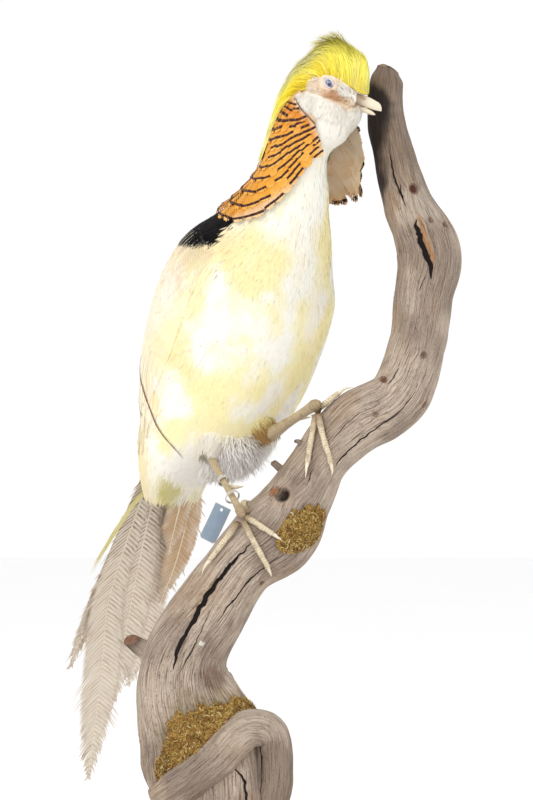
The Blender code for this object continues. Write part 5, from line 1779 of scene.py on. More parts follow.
def tail_tone(kind, down, off, share, side):
    """Tone of barbs at a distance down the shaft: lines that follow the barbs, plain near the shaft."""
    grain = noise(np.stack([down * 0.5, off, side * 9.0 + 0 * off], -1), 5.0, 131, 2)
    root = down - 0.9 * np.abs(off)
    waver = noise(np.stack([root, 0 * root, 0 * root + side], -1), 16.0, 133)
    line = 0.5 + 0.5 * np.sin(root * 2 * np.pi / LINE_GAP + 2.2 * waver)
    if kind == "lined":
        near_base = step(down, 130, 40)
        dashes = step(noise(np.stack([root * 1.6, off * 0.5, side + 0 * off], -1), 4.0, 137, 2), 0.38, 0.58)
        dark = step(line, 0.40 - 0.1 * near_base, 0.80) * (0.45 + 0.55 * dashes)
        ink = blend(0.9 * near_base, TAIL_TAN, TAIL_BROWN)
        tone = blend(dark * (0.92 - 0.37 * step(down, 110, 240)), TAIL_CREAM, ink)
        return blend(0.12 * grain, tone, TAIL_BROWN)
    tone = blend(0.45 * step(share, 0.65, 0.95), CINNAMON, TAIL_CREAM)
    tone = blend(0.5 * step(np.abs(off), 3, 9) * step(grain, 0.3, 0.7), tone, TAIL_CREAM)
    return blend(0.25 * step(line, 0.6, 0.95), tone, TAIL_BROWN)


def tail_feather(name, rows, layer, kind, seed):
    """Barbs leave the shaft at a slant, run out to the feather's edge, and fray near the tip."""
    rng = np.random.default_rng(seed)
    rows = np.array(rows, float)
    t = np.linspace(0, len(rows) - 1, 400)
    table = along(rows, t)
    down = np.arange(rows[0, 0], rows[-1, 0] - 1.0, BARB_GAP)
    n = len(down)
    total = rows[-1, 0]
    hand = np.repeat((-1.0, 1.0), n)
    down = np.tile(down, 2) + rng.uniform(-0.2, 0.2, 2 * n)
    half_at = np.interp(down + 10, table[:, 0], table[:, 2])
    half = np.maximum(np.interp(down, table[:, 0], table[:, 2]) * 0.35 + half_at * 0.65, 2.2)
    fray = step(down / total, 0.72, 1.0)
    ragged = 1 + rng.normal(0, 0.03 + 0.22 * fray, 2 * n)
    half = half * ragged * (1 + 0.35 * (rng.uniform(0, 1, 2 * n) < 0.07))
    k = 6
    m = np.linspace(0, 1, k)
    slant = 1.15 + 0.55 * fray + rng.normal(0, 0.02 + 0.25 * fray, 2 * n)
    at_down = down[:, None] + (half * slant)[:, None] * m**1.25
    at_down = np.minimum(at_down, total + 6 * rng.uniform(0.2, 1, (2 * n, 1)))
    off = hand[:, None] * half[:, None] * m**0.92
    shaft = np.interp(at_down, table[:, 0], table[:, 1])
    camber = 0.9 * (1 - (off / np.maximum(half[:, None], 6)) ** 2)
    camber = camber + rng.normal(0, 0.10 + 0.7 * fray[:, None], (2 * n, 1)) * m
    rise = layer * TAIL_LAYER - camber
    path = tail_point(at_down, shaft + off, rise)
    out = unit(tail_point(at_down, shaft + off, rise - 1.0) - path)
    side = np.repeat((0.0, 1.0), n)[:, None] + 0 * off
    tone = tail_tone(kind, at_down, off, at_down / total, side)
    tone = np.clip(tone * (1 + 0.05 * rng.standard_normal((2 * n, 1, 1))), 0, 0.95)
    widths = np.full((2 * n, 1), 0.76 * BARB_GAP) * np.interp(m, (0, 0.7, 0.92, 1), (0.9, 0.8, 0.45, 0.0))
    place = np.stack([0.02 + 0.94 * down / 340, 0.5 + 0.4 * hand * 0.5 + 0.03 * layer], 1)
    line = np.linspace(rows[0, 0], total, 60)
    wide = np.interp(line, (rows[0, 0], total), (1.1, 0.25))
    centre = tail_point(line, np.interp(line, table[:, 0], table[:, 1]), layer * TAIL_LAYER - 0.9)
    turn = full_turn(8)[None, :, None]
    ring = wide[:, None, None] * (np.sin(turn) * TAIL_LEFT - 0.7 * np.cos(turn) * TAIL_BACK)
    points, faces = tube(centre[:, None] + ring)
    shaft_tone = np.broadcast_to(QUILL_PALE, points.shape) * (0.9 + 0.2 * noise(points, 5.0, 7)[:, None])
    piece_from("tail_shaft_" + name, points, faces, quill, "plumage_tail", shaft_tone)
    return locks_piece("tail_vane_" + name, tail_silk, "plumage_tail",
                       (path, out, widths, 0.10 + 0 * down, tone, place),
                       ("tail_" + name,) if name in TAIL_NODES else ())


def quill_finish():
    """The shaft: smooth pale horn with fine lengthwise streaks."""
    finish = Finish("tail_quill", Coat_Roughness=0.3)
    streak = finish.noise(finish.place((300.0, 300.0, 40.0)), 6.0)
    tone = finish.mix(streak * 0.4, finish.attribute("tone", "Color"), (0.52, 0.38, 0.22))
    return finish.done(tone, 0.4 + streak * 0.2, streak, 0.2, 0.0002, 0.15 + streak * 0.1)


tail_silk = feather_finish("tail_silk", 0.6, 0.12, 0.2)
quill = quill_finish()
for seed, (name, (rows, layer, kind)) in enumerate(TAIL_BLADES.items()):
    tail_feather(name, rows, layer, kind, 700 + seed)

# %% [markdown]
# ## Coverts over the tail's root
#
# Long, narrow, pale yellow feathers run from the rump out over the root of the tail. They hide
# where it starts, and a few of them follow its outer edge as thin yellow lines.

# %% Tail coverts
COVERT_PALE, COVERT_LEMON, COVERT_BACK = (0.92, 0.88, 0.76), (0.90, 0.84, 0.58), (0.90, 0.80, 0.50)
COVERT_TAN, COVERT_EDGE = (0.80, 0.68, 0.42), (0.92, 0.83, 0.36)


def build_coverts():
    """Locks in the tail's own frame: they start above the root and run down it, spread across."""
    rng = np.random.default_rng(801)
    n = 2800
    layer = rng.uniform(-1.0, 1.0, n)
    front = rng.uniform(0, 1, n) < 0.6
    across = rng.uniform(-34, 33, n) * np.where(front, 1.0, 0.55)
    edge = (np.abs(across + 29) < 2.0) & front
    lowest = np.where(front, np.interp(across, (-34, -10, 4, 34), (-17, -8, 16, 14)), 10.0)
    lowest = np.where(edge, 16.0, lowest)
    start = rng.uniform(-26, lowest, n)
    length = np.where(edge, rng.uniform(68, 100, n), rng.uniform(16, 30, n) * np.where(across < -6, 0.7, 1.0))
    k = 6
    m = np.linspace(0, 1, k)
    down = start[:, None] + length[:, None] * m
    spread_out = np.interp(down, (-25, 15, 120), (0.78, 0.95, 1.0))
    at = across[:, None] * spread_out + rng.normal(0, 1.2, (n, 1)) * m
    at = at - 0.19 * edge[:, None] * np.maximum(down, 0)
    swell = np.interp(down, (-25, 0, 25, 90), (15, 8, 1.5, -1.2))
    swell = swell * np.sqrt(np.clip(1 - (at / 42) ** 2, 0, 1))
    face = np.where(front, -1, 1)[:, None]
    height = np.where(front, -6.0, 8.0)[:, None] + face * swell
    height = np.where(edge[:, None] & (down > 0), np.minimum(height + 0.12 * down, 6.0), height)
    height = height + face * (rng.uniform(0, 1.2, (n, 1)) + 1.5 * np.sin(np.pi * m) * 0.4)
    path = tail_point(down, at, height)
    out = np.where(front, -1.0, 1.0)[:, None, None] * np.broadcast_to(TAIL_BACK, path.shape)
    soft = noise(np.stack([start, across, layer], -1), 14.0, 805, 2)
    tone = blend(step(soft, 0.4, 0.62), COVERT_PALE, COVERT_LEMON)
    tone = blend(0.7 * step(np.abs(across - 3), 13, 4) * step(start, -6, 8) * front, tone, OLIVE)
    tone = blend(0.6 * (1 - front), tone, COVERT_BACK)
    tone = blend(0.6 * step(across, -4, -14) * front, tone, COVERT_TAN)
    tone = blend(0.8 * edge, tone, COVERT_EDGE)
    widths = rng.uniform(0.6, 1.1, (n, 1)) * np.interp(m, (0, .3, .7, 1), (.7, 1, .7, 0))
    widths = widths * np.where(edge, 0.6, 1.0)[:, None]
    place = np.stack([0.01 + 0.1 * (start + 26) / 60, 0.5 + across / 80], 1)
    tones = shaded(tone, k, 0.92, 1.03, rng, 0.04)
    return locks_piece("tail_coverts", silk, "plumage_yellow",
                       (path, out, widths, 0.2 + 0 * length, tones, place, 0.8))


build_coverts()

# %% [markdown]
# ## The driftwood branch
#
# The branch is one continuous surface along a bent curve. Its places are told by a station `t` and
# an angle from the front towards the left. Weather has worn it to a grey-beige with long fibres.
# Splits open along the grain, dead twigs have left ringed knots, and the upper left side is
# charred. Wide splits and hollows are dug into the mesh. Fine ones are drawn by the finish from
# each point's distance to them.

# %% Branch shape
BRANCH = np.array([  # x, y, z, half width, half depth
    (-20.0, -30.0, 20.4, 54.0, 46.0), (-21.0, -32.0, 62.0, 52.0, 45.0), (-29.5, -34.0, 104.0, 51.5, 42.0),
    (-45.4, -39.0, 147.0, 40.4, 35.0), (-45.0, -40.0, 176.0, 34.5, 30.0), (-26.9, -40.0, 207.0, 30.6, 26.5),
    (-1.5, -40.0, 246.5, 27.6, 24.0), (28.4, -40.0, 274.6, 33.4, 26.0), (47.6, -40.0, 304.6, 26.2, 23.5),
    (66.0, -40.0, 335.0, 22.8, 21.5), (92.0, -39.0, 361.0, 26.0, 23.5), (124.9, -36.0, 383.8, 24.6, 22.5),
    (141.4, -30.0, 425.0, 23.1, 21.0), (146.8, -25.0, 465.0, 24.0, 20.5), (150.2, -20.0, 500.0, 25.6, 21.0),
    (133.2, -15.0, 540.0, 20.0, 17.5), (122.6, -11.0, 580.0, 16.5, 15.0), (116.5, -9.0, 615.0, 14.9, 13.5),
    (117.5, -8.0, 650.0, 12.7, 11.5)])
FRONT = np.array((0.0, -1.0, 0.0))


def branch_frame(t):
    """Centre, side, front and half sizes of the branch at stations t."""
    found, way = along(BRANCH, t), heading_of(BRANCH, t)
    front = unit(FRONT - way * dot(way, FRONT))
    return found[..., :3], np.cross(front, way), front, found[..., 3], found[..., 4]


def branch_point(t, angle, lift=0.0):
    """centre + (hw k + lift) sin(angle) side + (hd k + lift) cos(angle) front, k a few soft lobes."""
    centre, side, front, half_side, half_front = branch_frame(t)
    turn = np.radians(angle)
    knots = 1 + 0.035 * np.sin(3 * turn + 1.7 * t) + 0.02 * np.sin(5 * turn - 2.6 * t)
    across = (half_side * knots + lift) * np.sin(turn)
    forward = (half_front * knots + lift) * np.cos(turn)
    return centre + across[..., None] * side + forward[..., None] * front


branch_ground = Ground(branch_point, BRANCH[:, :3])
print("branch:", round(branch_ground.length[-1]), "mm along")

# %% Marks of the wood
SPLITS = (  # (station, angle) rows from top to bottom, half width, depth
    (((16.16, 14), (15.72, 14), (15.34, 15), (15.1, 9), (14.8, 8)), 0.9, 1.2),
    (((14.60, 3), (14.52, 5), (14.22, 13), (13.84, 8), (13.36, -4), (13.25, -5)), 2.7, 5.0),
    (((11.32, -24), (10.94, -23), (10.58, -25), (10.08, -28), (9.52, -28), (9.04, -30),
      (8.8, -31)), 0.75, 1.0),
    (((6.85, -26), (6.44, -30), (5.96, -26), (5.64, -25), (5.36, -18), (5.0, -16)), 0.7, 0.9),
    (((1.64, -20), (1.5, -24), (1.3, -30), (0.8, -28)), 1.3, 2.0),
    (((15.36, 4), (15.2, 7), (15.0, 9)), 0.6, 0.5),
    (((13.36, 3), (13.2, 8), (12.95, 12)), 0.5, 0.3),
    (((11.42, 22), (11.2, 26), (10.95, 30)), 0.45, 0.3),
    (((10.4, 14), (10.2, 14), (9.86, 13), (9.3, 10)), 0.4, 0.2),
    (((8.75, 5), (8.5, 4), (8.2, -2)), 0.5, 0.3),
    (((6.5, 16), (6.22, 16), (5.88, 16), (5.58, 20), (5.36, 20), (4.98, 17), (4.6, 15), (4.3, 13), (3.6, 10)),
     2.0, 4.5),
    (((5.15, 1), (4.72, -3), (4.16, -6), (3.7, 1), (3.4, 4)), 0.5, 0.3),
    (((2.0, -72), (1.68, -71), (1.4, -80), (0.9, -84)), 0.9, 0.8),
    (((17.4, 140), (16.2, 150), (15.0, 146), (13.9, 152)), 1.3, 2.0),
    (((12.2, 170), (11.0, 176), (9.6, 172), (8.3, 166)), 1.6, 2.5),
    (((7.0, -140), (5.9, -148), (4.6, -142), (3.2, -136)), 1.5, 2.4),
    (((5.8, 118), (4.9, 112), (3.8, 116), (2.6, 110)), 1.2, 1.6),
)
# The first knot is a hole 7 mm deep; the near-black at its middle is painted shade.
KNOTS = (  # station, angle, radius, depth, colour at its middle
    (7.78, 26, 4.6, 7.0, (0.010, 0.006, 0.005)), (7.76, 44, 3.6, -0.8, (0.42, 0.17, 0.05)),
    (15.14, -24, 3.6, 1.8, (0.11, 0.025, 0.012)), (14.46, -27, 2.0, 0.6, (0.20, 0.14, 0.11)),
    (11.76, -15, 2.3, 0.7, (0.18, 0.12, 0.09)), (10.38, -3, 1.8, 0.4, (0.24, 0.18, 0.14)),
    (11.02, 42, 3.4, 1.2, (0.22, 0.10, 0.05)), (6.06, -49, 2.2, -0.6, (0.16, 0.09, 0.05)),
    (11.1, -62, 1.8, 0.5, (0.26, 0.16, 0.10)), (14.3, -50, 1.7, 0.5, (0.14, 0.09, 0.07)),
    (9.0, 150, 6.0, 3.0, (0.12, 0.07, 0.04)), (4.2, -170, 7.0, 3.5, (0.14, 0.08, 0.05)),
    (13.4, 160, 4.0, 1.5, (0.16, 0.10, 0.06)), (2.55, 82, 1.6, 0.6, (0.10, 0.06, 0.04)))
# No two splits of a group come near each other, because a point keeps only one split of each group.
SPLIT_GROUPS = (SPLITS[:5] + SPLITS[13:15], SPLITS[5:10] + SPLITS[11:12] + SPLITS[15:16],
                SPLITS[10:11] + SPLITS[12:13] + SPLITS[16:])


def split_fields(group, t, angle, radius, length):
    """Signed millimetres from the nearest split's line, and its half width there.

    The line's angle is interpolated over t and made jagged by noise. The width swells as
    sin(pi share)^0.6 from end to end and is negative wherever no split is near."""
    away, wide, dug = np.full(t.shape, 50.0), np.full(t.shape, -1.0), np.zeros(t.shape)
    for rows, half, depth in group:
        line = np.array(rows, float)[::-1]
        share = np.clip((t - line[0, 0]) / (line[-1, 0] - line[0, 0]), 0, 1)
        jag = noise(np.stack([length, 0 * t + half * 9, 0 * t], -1), 5.0, 17, 3) - 0.5
        off = (angle - np.interp(t, line[:, 0], line[:, 1]) + 180) % 360 - 180
        off = np.radians(off) * radius + (1.6 + 1.1 * half) * jag
        uneven = noise(np.stack([length, 0 * t, 0 * t + half], -1), 7.0, 19, 2)
        width = half * np.sin(np.pi * share) ** 0.6 * (0.55 + 0.9 * uneven)
        near = (np.abs(off) < 9.0) & (share > 0) & (share < 1)
        away, wide = np.where(near, off, away), np.where(near, width, wide)
        trough = np.exp(-(off / np.maximum(width, 0.3) / 1.1) ** 2)
        dug = dug + np.where(near, depth * trough * np.sin(np.pi * share) ** 0.5, 0)
    return np.stack([away, wide, 0 * away], -1), dug


WOOD_PALE, WOOD_GREY = (0.57, 0.48, 0.395), (0.37, 0.30, 0.245)
WOOD_WARM, WOOD_DARK, WOOD_BARE = (0.47, 0.34, 0.235), (0.15, 0.105, 0.08), (0.62, 0.55, 0.47)
CHAR, SPLIT_ORANGE, RED_BARK = (0.022, 0.016, 0.016), (0.46, 0.22, 0.08), (0.20, 0.11, 0.075)
MOSS_STAIN, PALE_CHIP = (0.22, 0.17, 0.07), (0.9, 0.87, 0.82)


def wood_tone(t, angle, points):
    """Weathered wood: grey-beige with paler and warmer patches, charred at the upper left."""
    broad, small = noise(points * (1, 1, 0.6), 26.0, 151, 3), noise(points, 7.0, 153, 2)
    tone = blend(step(broad, 0.38, 0.66), WOOD_GREY, WOOD_PALE)
    tone = blend(0.55 * step(noise(points, 38.0, 155, 2), 0.5, 0.75), tone, WOOD_WARM)
    tone = blend(0.5 * step(small, 0.6, 0.85), tone, WOOD_GREY)
    tone = blend(0.55 * step(t, 15.0, 15.8), tone, WOOD_DARK)
    pale = step(t, 15.25, 15.1) * step(t, 14.2, 14.6) * step(angle, 8, 2) * step(angle, -75, -55)
    tone = blend(0.6 * pale, tone, WOOD_BARE)
    rough = 14 * (small - 0.5)
    low = np.interp(t, (15.15, 15.4, 16.06, 16.66, 17.1, 17.4, 17.7), (95, 45, 36, -6, -28, 10, 60))
    high = np.interp(t, (15.2, 15.6, 16.4, 17.3, 17.8), (118, 150, 165, 170, 120))
    rough = rough + 60 * (noise(points * (1, 1, 0.2), 5.0, 157, 3) - 0.5)
    burnt = step(angle + rough, low - 26, low + 26) * step(angle + rough, high + 12, high - 12)
    burnt = burnt * step(t + 0.02 * rough, 15.0, 15.6)
    tone = blend(0.94 * burnt * step(t, 17.85, 17.45), tone, CHAR)
    strip = step(np.abs(angle - np.interp(t, (13.6, 14.16, 14.6), (-6, 1, -7))), 6, 3)
    strip = strip * step(t, 13.5, 13.8) * step(t, 14.75, 14.5)
    tone = blend(0.8 * strip, tone, SPLIT_ORANGE)
    bark = step(np.hypot((t - 3.5) * 26, (angle + 45) * 0.6) + 9 * (small - 0.5), 17, 8)
    tone = blend(0.55 * bark, tone, RED_BARK)
    stain = step(np.hypot((t - 2.35) * 30, (angle + 12) * 0.42) + 14 * (small - 0.5), 27, 17)
    tone = blend(0.5 * stain * (np.abs(angle) < 90), tone, MOSS_STAIN)
    chip = np.hypot((t - 4.5) * 36, (angle + 13) * 0.5)
    return blend(step(chip, 2.4, 1.6), tone, PALE_CHIP)


def driftwood_finish():
    """Fibres along `grain`, pores between them, splits from `split_*`, and rings round knots."""
    finish = Finish("driftwood_grey", Specular_IOR_Level=0.25)
    grain = finish.attribute("grain", "Vector")

    def drawn_out(share):
        return finish.node("Mapping", None, {"Vector": grain, "Scale": (1.0, 1.0, share)})

    fibre = finish.noise(drawn_out(0.045), 1.25, 6.0, 0.62)
    coarse = finish.noise(drawn_out(0.03), 0.30, 4.0)
    pores = finish.noise(drawn_out(0.25), 1.9, 2.0)
    lines = finish.ramp(fibre, (0.31, (0.17, 0.12, 0.095)), (0.47, (0.68, 0.63, 0.59)),
                        (0.60, (1.0, 1.0, 1.0)))
    lines = finish.mix(coarse.above(0.42, 0.72) * 0.55, lines, (1.0, 0.96, 0.90))
    lines = finish.mix(pores.above(0.60, 0.70) * 0.7, lines, (0.26, 0.18, 0.13))
    tone = finish.mix(1.0, finish.attribute("tone", "Color"), lines, "MULTIPLY")
    opened = 0
    for label in ("split_a", "split_b", "split_c"):
        field = finish.attribute(label, "Vector")
        away = finish.node("SeparateXYZ", None, {"Vector": field}, output=0).size()
        wide = finish.node("SeparateXYZ", None, {"Vector": field}, output=1)
        opened = (wide - away + (fibre - 0.5) * 1.3).above(0.0, 0.28) + opened
    # The splits' near-black is painted shade inside the cracks.
    tone = finish.mix(opened.above(0.1, 0.9), tone, (0.014, 0.009, 0.008))
    near = finish.attribute("knot")
    ring = 1 - ((near + (fibre - 0.5) * 0.25 - 1.0).size()).above(0.04, 0.22)
    tone = finish.mix(ring * 0.5, tone, (0.08, 0.05, 0.04))
    height = fibre + coarse * 0.6 - opened * 1.5 - pores.above(0.6, 0.7) * 0.5
    return finish.done(tone, 0.72 + fibre * 0.2, height, 0.9, 0.0009)


driftwood = driftwood_finish()

# %% The branch
FAR_FROM_KNOT, FAR_FROM_SPLIT = 3.0, (50.0, -1.0, 0.0)


def build_branch():
    """The branch's grid: splits and knots are dug into it and fibres raised on it, then the broken top."""
    rows, sides, cap_rows = 640, 100, 14
    ends = np.linspace(0, branch_ground.length[-1], rows)
    station = np.interp(ends, branch_ground.length, branch_ground.t)
    turns = np.linspace(-180, 180, sides, endpoint=False)
    t, angle = np.meshgrid(station, turns, indexing="ij")
    length = np.repeat(ends[:, None], sides, axis=1)
    surface = branch_point(t, angle)
    centre, side, front, half_side, half_front = branch_frame(t)
    radius = np.sqrt(half_side * half_front)
    fields, lift = [], 0.0
    for group in SPLIT_GROUPS:
        field, dug = split_fields(group, t, angle, radius, length)
        fields.append(field)
        lift = lift - dug
    knot, swirl = np.full(t.shape, FAR_FROM_KNOT), 0.0
    tone = wood_tone(t, angle, surface)
    for at_t, at_angle, size, depth, colour in KNOTS:
        off = np.radians((angle - at_angle + 180) % 360 - 180) * radius
        forth = length - np.interp(at_t, branch_ground.t, branch_ground.length)
        q = np.hypot(off, forth / 1.25) / size
        knot = np.minimum(knot, q)
        swirl = swirl + off * np.exp(-(q / 2.2) ** 2) * 0.9
        lift = lift - depth * np.exp(-(q / 0.8) ** 4) + 0.9 * np.exp(-((q - 1.35) / 0.45) ** 2)
        tone = blend(0.95 * step(q, 1.05, 0.7), tone, colour)
        tone = blend(0.35 * step(q, 2.4, 1.1) * (q > 0.9), tone, WOOD_WARM)
    fibre = np.stack([np.cos(np.radians(angle)) * 9.0, np.sin(np.radians(angle)) * 9.0, length * 0.05], -1)
    ridges = noise(fibre, 1.1, 161, 2) - 0.5
    waves = noise(surface, 17.0, 163, 2) - 0.5
    lift = lift + 1.1 * ridges + 1.6 * waves
    points = branch_point(t, angle, lift - 0.3 - 4.0 * step(t, 17.6, 18.0) ** 2)
    slant = step(t, 17.1, 18.0) * (1 - np.sin(np.radians(angle))) * 0.5
    points = points - slant[..., None] * 5.0 * heading_of(BRANCH, t)
    points[..., 2] = np.maximum(points[..., 2], 20.4)
    dig = np.linspace(0.93, 0.04, cap_rows)[:, None, None]
    middle = points[-1].mean(axis=0)
    cap = middle + (points[-1] - middle) * dig
    rough = noise(cap, 4.0, 165, 3) - 0.5
    cap = cap + (2.6 * rough + 3.4 * (1 - dig[..., 0] ** 2))[..., None] * np.array((0.0, 0.0, 1.0))
    grid = np.concatenate([points, cap])
    around = np.radians(angle + 5.0 * t) + swirl / radius
    grain = np.stack([30 * np.cos(around), 30 * np.sin(around), length], -1)
    grain_cap = np.stack([grain[-1, :, 0] * dig[..., 0], grain[-1, :, 1] * dig[..., 0],
                          0 * dig[..., 0] + length[-1] + 60 * rough], -1)
    cap_tone = blend(step(rough, -0.2, 0.2), np.broadcast_to(WOOD_DARK, cap.shape), WOOD_WARM)
    far = np.broadcast_to(FAR_FROM_SPLIT, cap.shape)
    mesh_points, faces = tube(grid)
    values = {"grain": for_tube(np.concatenate([grain, grain_cap])),
              "knot": for_tube(np.concatenate([knot, np.full(cap.shape[:2], FAR_FROM_KNOT)]))}
    for label, field in zip(("split_a", "split_b", "split_c"), fields):
        values[label] = for_tube(np.concatenate([field, far]))
    return piece_from("branch_wood", mesh_points, faces, driftwood, "driftwood",
                      for_tube(np.concatenate([tone, cap_tone])), values,
                      replaces=("branch_foot", "branch_lower", "branch_perch", "branch_middle", "branch_top"))


build_branch()

# %% [markdown]
# ## Root burl, stubs and end grain
#
# At the foot a thick rolled lip of the root curls across the front of the branch. A snapped stub
# sticks out behind it with its reddish heart showing, and a dead twig is left under the perch.
# They are round bars of the same wood, with the fibres running along each bar.

# %% Bars of wood
CURL = np.array([  # x, y, z, radius
    (-66.0, -62.0, 62.0, 12.5), (-46.0, -70.0, 75.0, 15.0), (-20.0, -74.0, 97.0, 15.8),
    (4.0, -69.0, 119.0, 16.0), (22.0, -59.0, 114.0, 15.8), (25.0, -52.0, 78.0, 15.4),
    (18.0, -48.0, 34.4, 14.0)])
STUBS = {  # root, tip, radius at the root and at the tip
    "stub_low": ((-66.0, -32.0, 172.0), (-89.0, -26.0, 187.5), 9.5, 5.2),
    "twig_low": ((42.0, -38.0, 316.0), (25.5, -36.0, 330.0), 4.6, 2.6)}
CURL_SPLITS = (  # (row, angle) along the curl, half width, depth
    (((0.4, 200), (1.6, 215), (2.8, 190), (3.9, 205), (4.6, 180)), 0.6, 0.8),
    (((3.2, 120), (4.0, 130), (5.4, 118)), 0.8, 0.8))
CAP_RINGS, PLAIN_WOOD = 12, (9.5, -120)  # PLAIN_WOOD: a station and angle where the branch bears no marks
HEARTWOOD = (0.27, 0.085, 0.032)


def wood_bar(name, table, cut, replaces, end_tone=None):
    """A round bar along a table of x, y, z, radius. cut slants its far end; end_tone colours it."""
    rows, sides = (200, 64) if len(table) > 5 else (90, 40)
    t = np.linspace(0, len(table) - 1, rows)[:, None]
    turn = full_turn(sides)[None, :]
    found, way = along(table, t), heading_of(table, t)
    first = unit(np.cross(way, np.array((0.15, 0.97, 0.2))))
    second = np.cross(way, first)
    length = path_length(found[:, 0, :3])[:, None] + 0 * turn
    fibre = np.stack([np.cos(turn + 0 * t) * 5, np.sin(turn + 0 * t) * 5, length * 0.06], -1)
    out = np.cos(turn)[..., None] * first + np.sin(turn)[..., None] * second
    rough = 1.2 * (noise(fibre, 1.2, 171, 3) - 0.5)
    rough = rough + 2.2 * (noise(found[..., :3] + 9 * out, 15.0, 173, 2) - 0.5)
    lobes = 1 + 0.06 * np.sin(2 * turn + length / 20)
    grid = found[..., :3] + (found[..., 3:4] * lobes[..., None] + rough[..., None]) * out
    share = length / length[-1, 0]
    grid = grid + (cut * step(share, 0.6, 1.0) * np.cos(turn + 0.9))[..., None] * way
    dig = np.linspace(0.9, 0.05, CAP_RINGS)[:, None, None]
    middle = grid[-1].mean(0)
    cap = middle + (grid[-1] - middle) * dig
    cap = cap + (1.4 * (noise(cap, 2.0, 175, 2) - 0.5))[..., None] * way[-1]
    same = 0 * grid[..., 0]
    tone = wood_tone(PLAIN_WOOD[0] + same, PLAIN_WOOD[1] + same, grid)
    if end_tone is not None:
        tone = blend(0.8 * step(share, 0.45, 0.95), tone, WOOD_DARK)
    cap_tone = blend(noise(cap, 3.0, 177, 2), np.broadcast_to(end_tone or WOOD_DARK, cap.shape), WOOD_WARM)
    grain = np.stack([30 * np.cos(turn + 0 * t), 30 * np.sin(turn + 0 * t), length], -1)
    points, faces = tube(np.concatenate([grid, cap]))
    clear = np.broadcast_to(FAR_FROM_SPLIT, (rows + CAP_RINGS, sides, 3))
    values = {"grain": for_tube(np.concatenate([grain, grain[-1] * dig])),
              "knot": np.full(len(points), FAR_FROM_KNOT)}
    values |= {label: for_tube(clear) for label in ("split_a", "split_b", "split_c")}
    if name == "root_burl":
        seam = np.degrees(turn) + 0 * t
        field = split_fields(CURL_SPLITS, t + 0 * turn, seam, found[..., 3], length)[0]
        values["split_a"] = for_tube(np.concatenate([field, clear[:CAP_RINGS]]))
    return piece_from(name, points, faces, driftwood, "driftwood",
                      for_tube(np.concatenate([tone, cap_tone])), values, replaces=replaces)


wood_bar("root_burl", CURL, 0.0, ("branch_curl",))
for name, (root, tip, wide, narrow) in STUBS.items():
    line = np.linspace(root, tip, 4)
    table = np.concatenate([line, np.linspace(wide, narrow, 4)[:, None]], axis=1)
    red = HEARTWOOD if name == "stub_low" else None
    wood_bar(name + "_wood", table, 5.5 if red else 1.5, (name,), red)
twiglet = np.array([(52.0, -46.0, 341.0, 2.4), (47.5, -48.0, 346.0, 2.0), (43.0, -49.0, 347.5, 1.4)])
wood_bar("twig_upper_wood", twiglet, 0.6, ())

# %% [markdown]
# ## Moss and shavings
#
# Dry golden-brown moss is packed into the hollow above the burl and round a knot under the feet.
# It is a low, crumbly bed under a tangle of thousands of short curled ribbons that point every
# way.

# %% Moss
MOSS = {  # rows: angle round the branch, lower and upper station; then the bed's height and the ribbons
    "moss_foot": (((52, 1.55, 1.95), (34, 1.5, 2.5), (10, 1.7, 2.78), (-10, 1.95, 2.72), (-40, 2.1, 2.68),
                   (-72, 2.15, 2.42)), 5.0, 4500),
    "moss_knot": (((-2, 6.95, 7.5), (-16, 6.8, 7.78), (-30, 6.85, 7.9), (-44, 7.0, 7.94),
                   (-64, 7.4, 7.92)), 3.0, 2200)}
MOSS_TONES = np.array([(0.52, 0.34, 0.09), (0.66, 0.50, 0.17), (0.30, 0.16, 0.045), (0.44, 0.25, 0.07),
                       (0.78, 0.66, 0.38), (0.14, 0.075, 0.03)])
MOSS_SHARES = (0.28, 0.24, 0.17, 0.17, 0.06, 0.08)


def moss_finish(name, dark):
    """Dry fibre: its own tone, mottled by crumbs."""
    finish = Finish(name, Specular_IOR_Level=0.2)
    crumb, fine = finish.noise(finish.place(), 420.0, 3.0), finish.noise(finish.place(), 1900.0)
    tone = finish.mix(crumb * 0.5 + fine * 0.25, finish.attribute("tone", "Color"), dark, "MULTIPLY")
    return finish.done(tone, 0.8 + fine * 0.15, crumb + fine * 0.5, 0.8, 0.001)


moss_fibre = moss_finish("moss_ribbon", (0.55, 0.42, 0.30))
moss_bed = moss_finish("moss_bed", (0.35, 0.25, 0.18))


def moss_place(rows, share_round, share_up):
    """(station, angle) in a patch: share 0 to 1 along its rows and across them."""
    turns, low, high = np.moveaxis(along(np.array(rows, float), share_round * (len(rows) - 1)), -1, 0)
    high = high + 0.06 * np.sin(21 * share_round + 1) + 0.04 * np.sin(53 * share_round)
    return low + (high - low) * share_up, turns


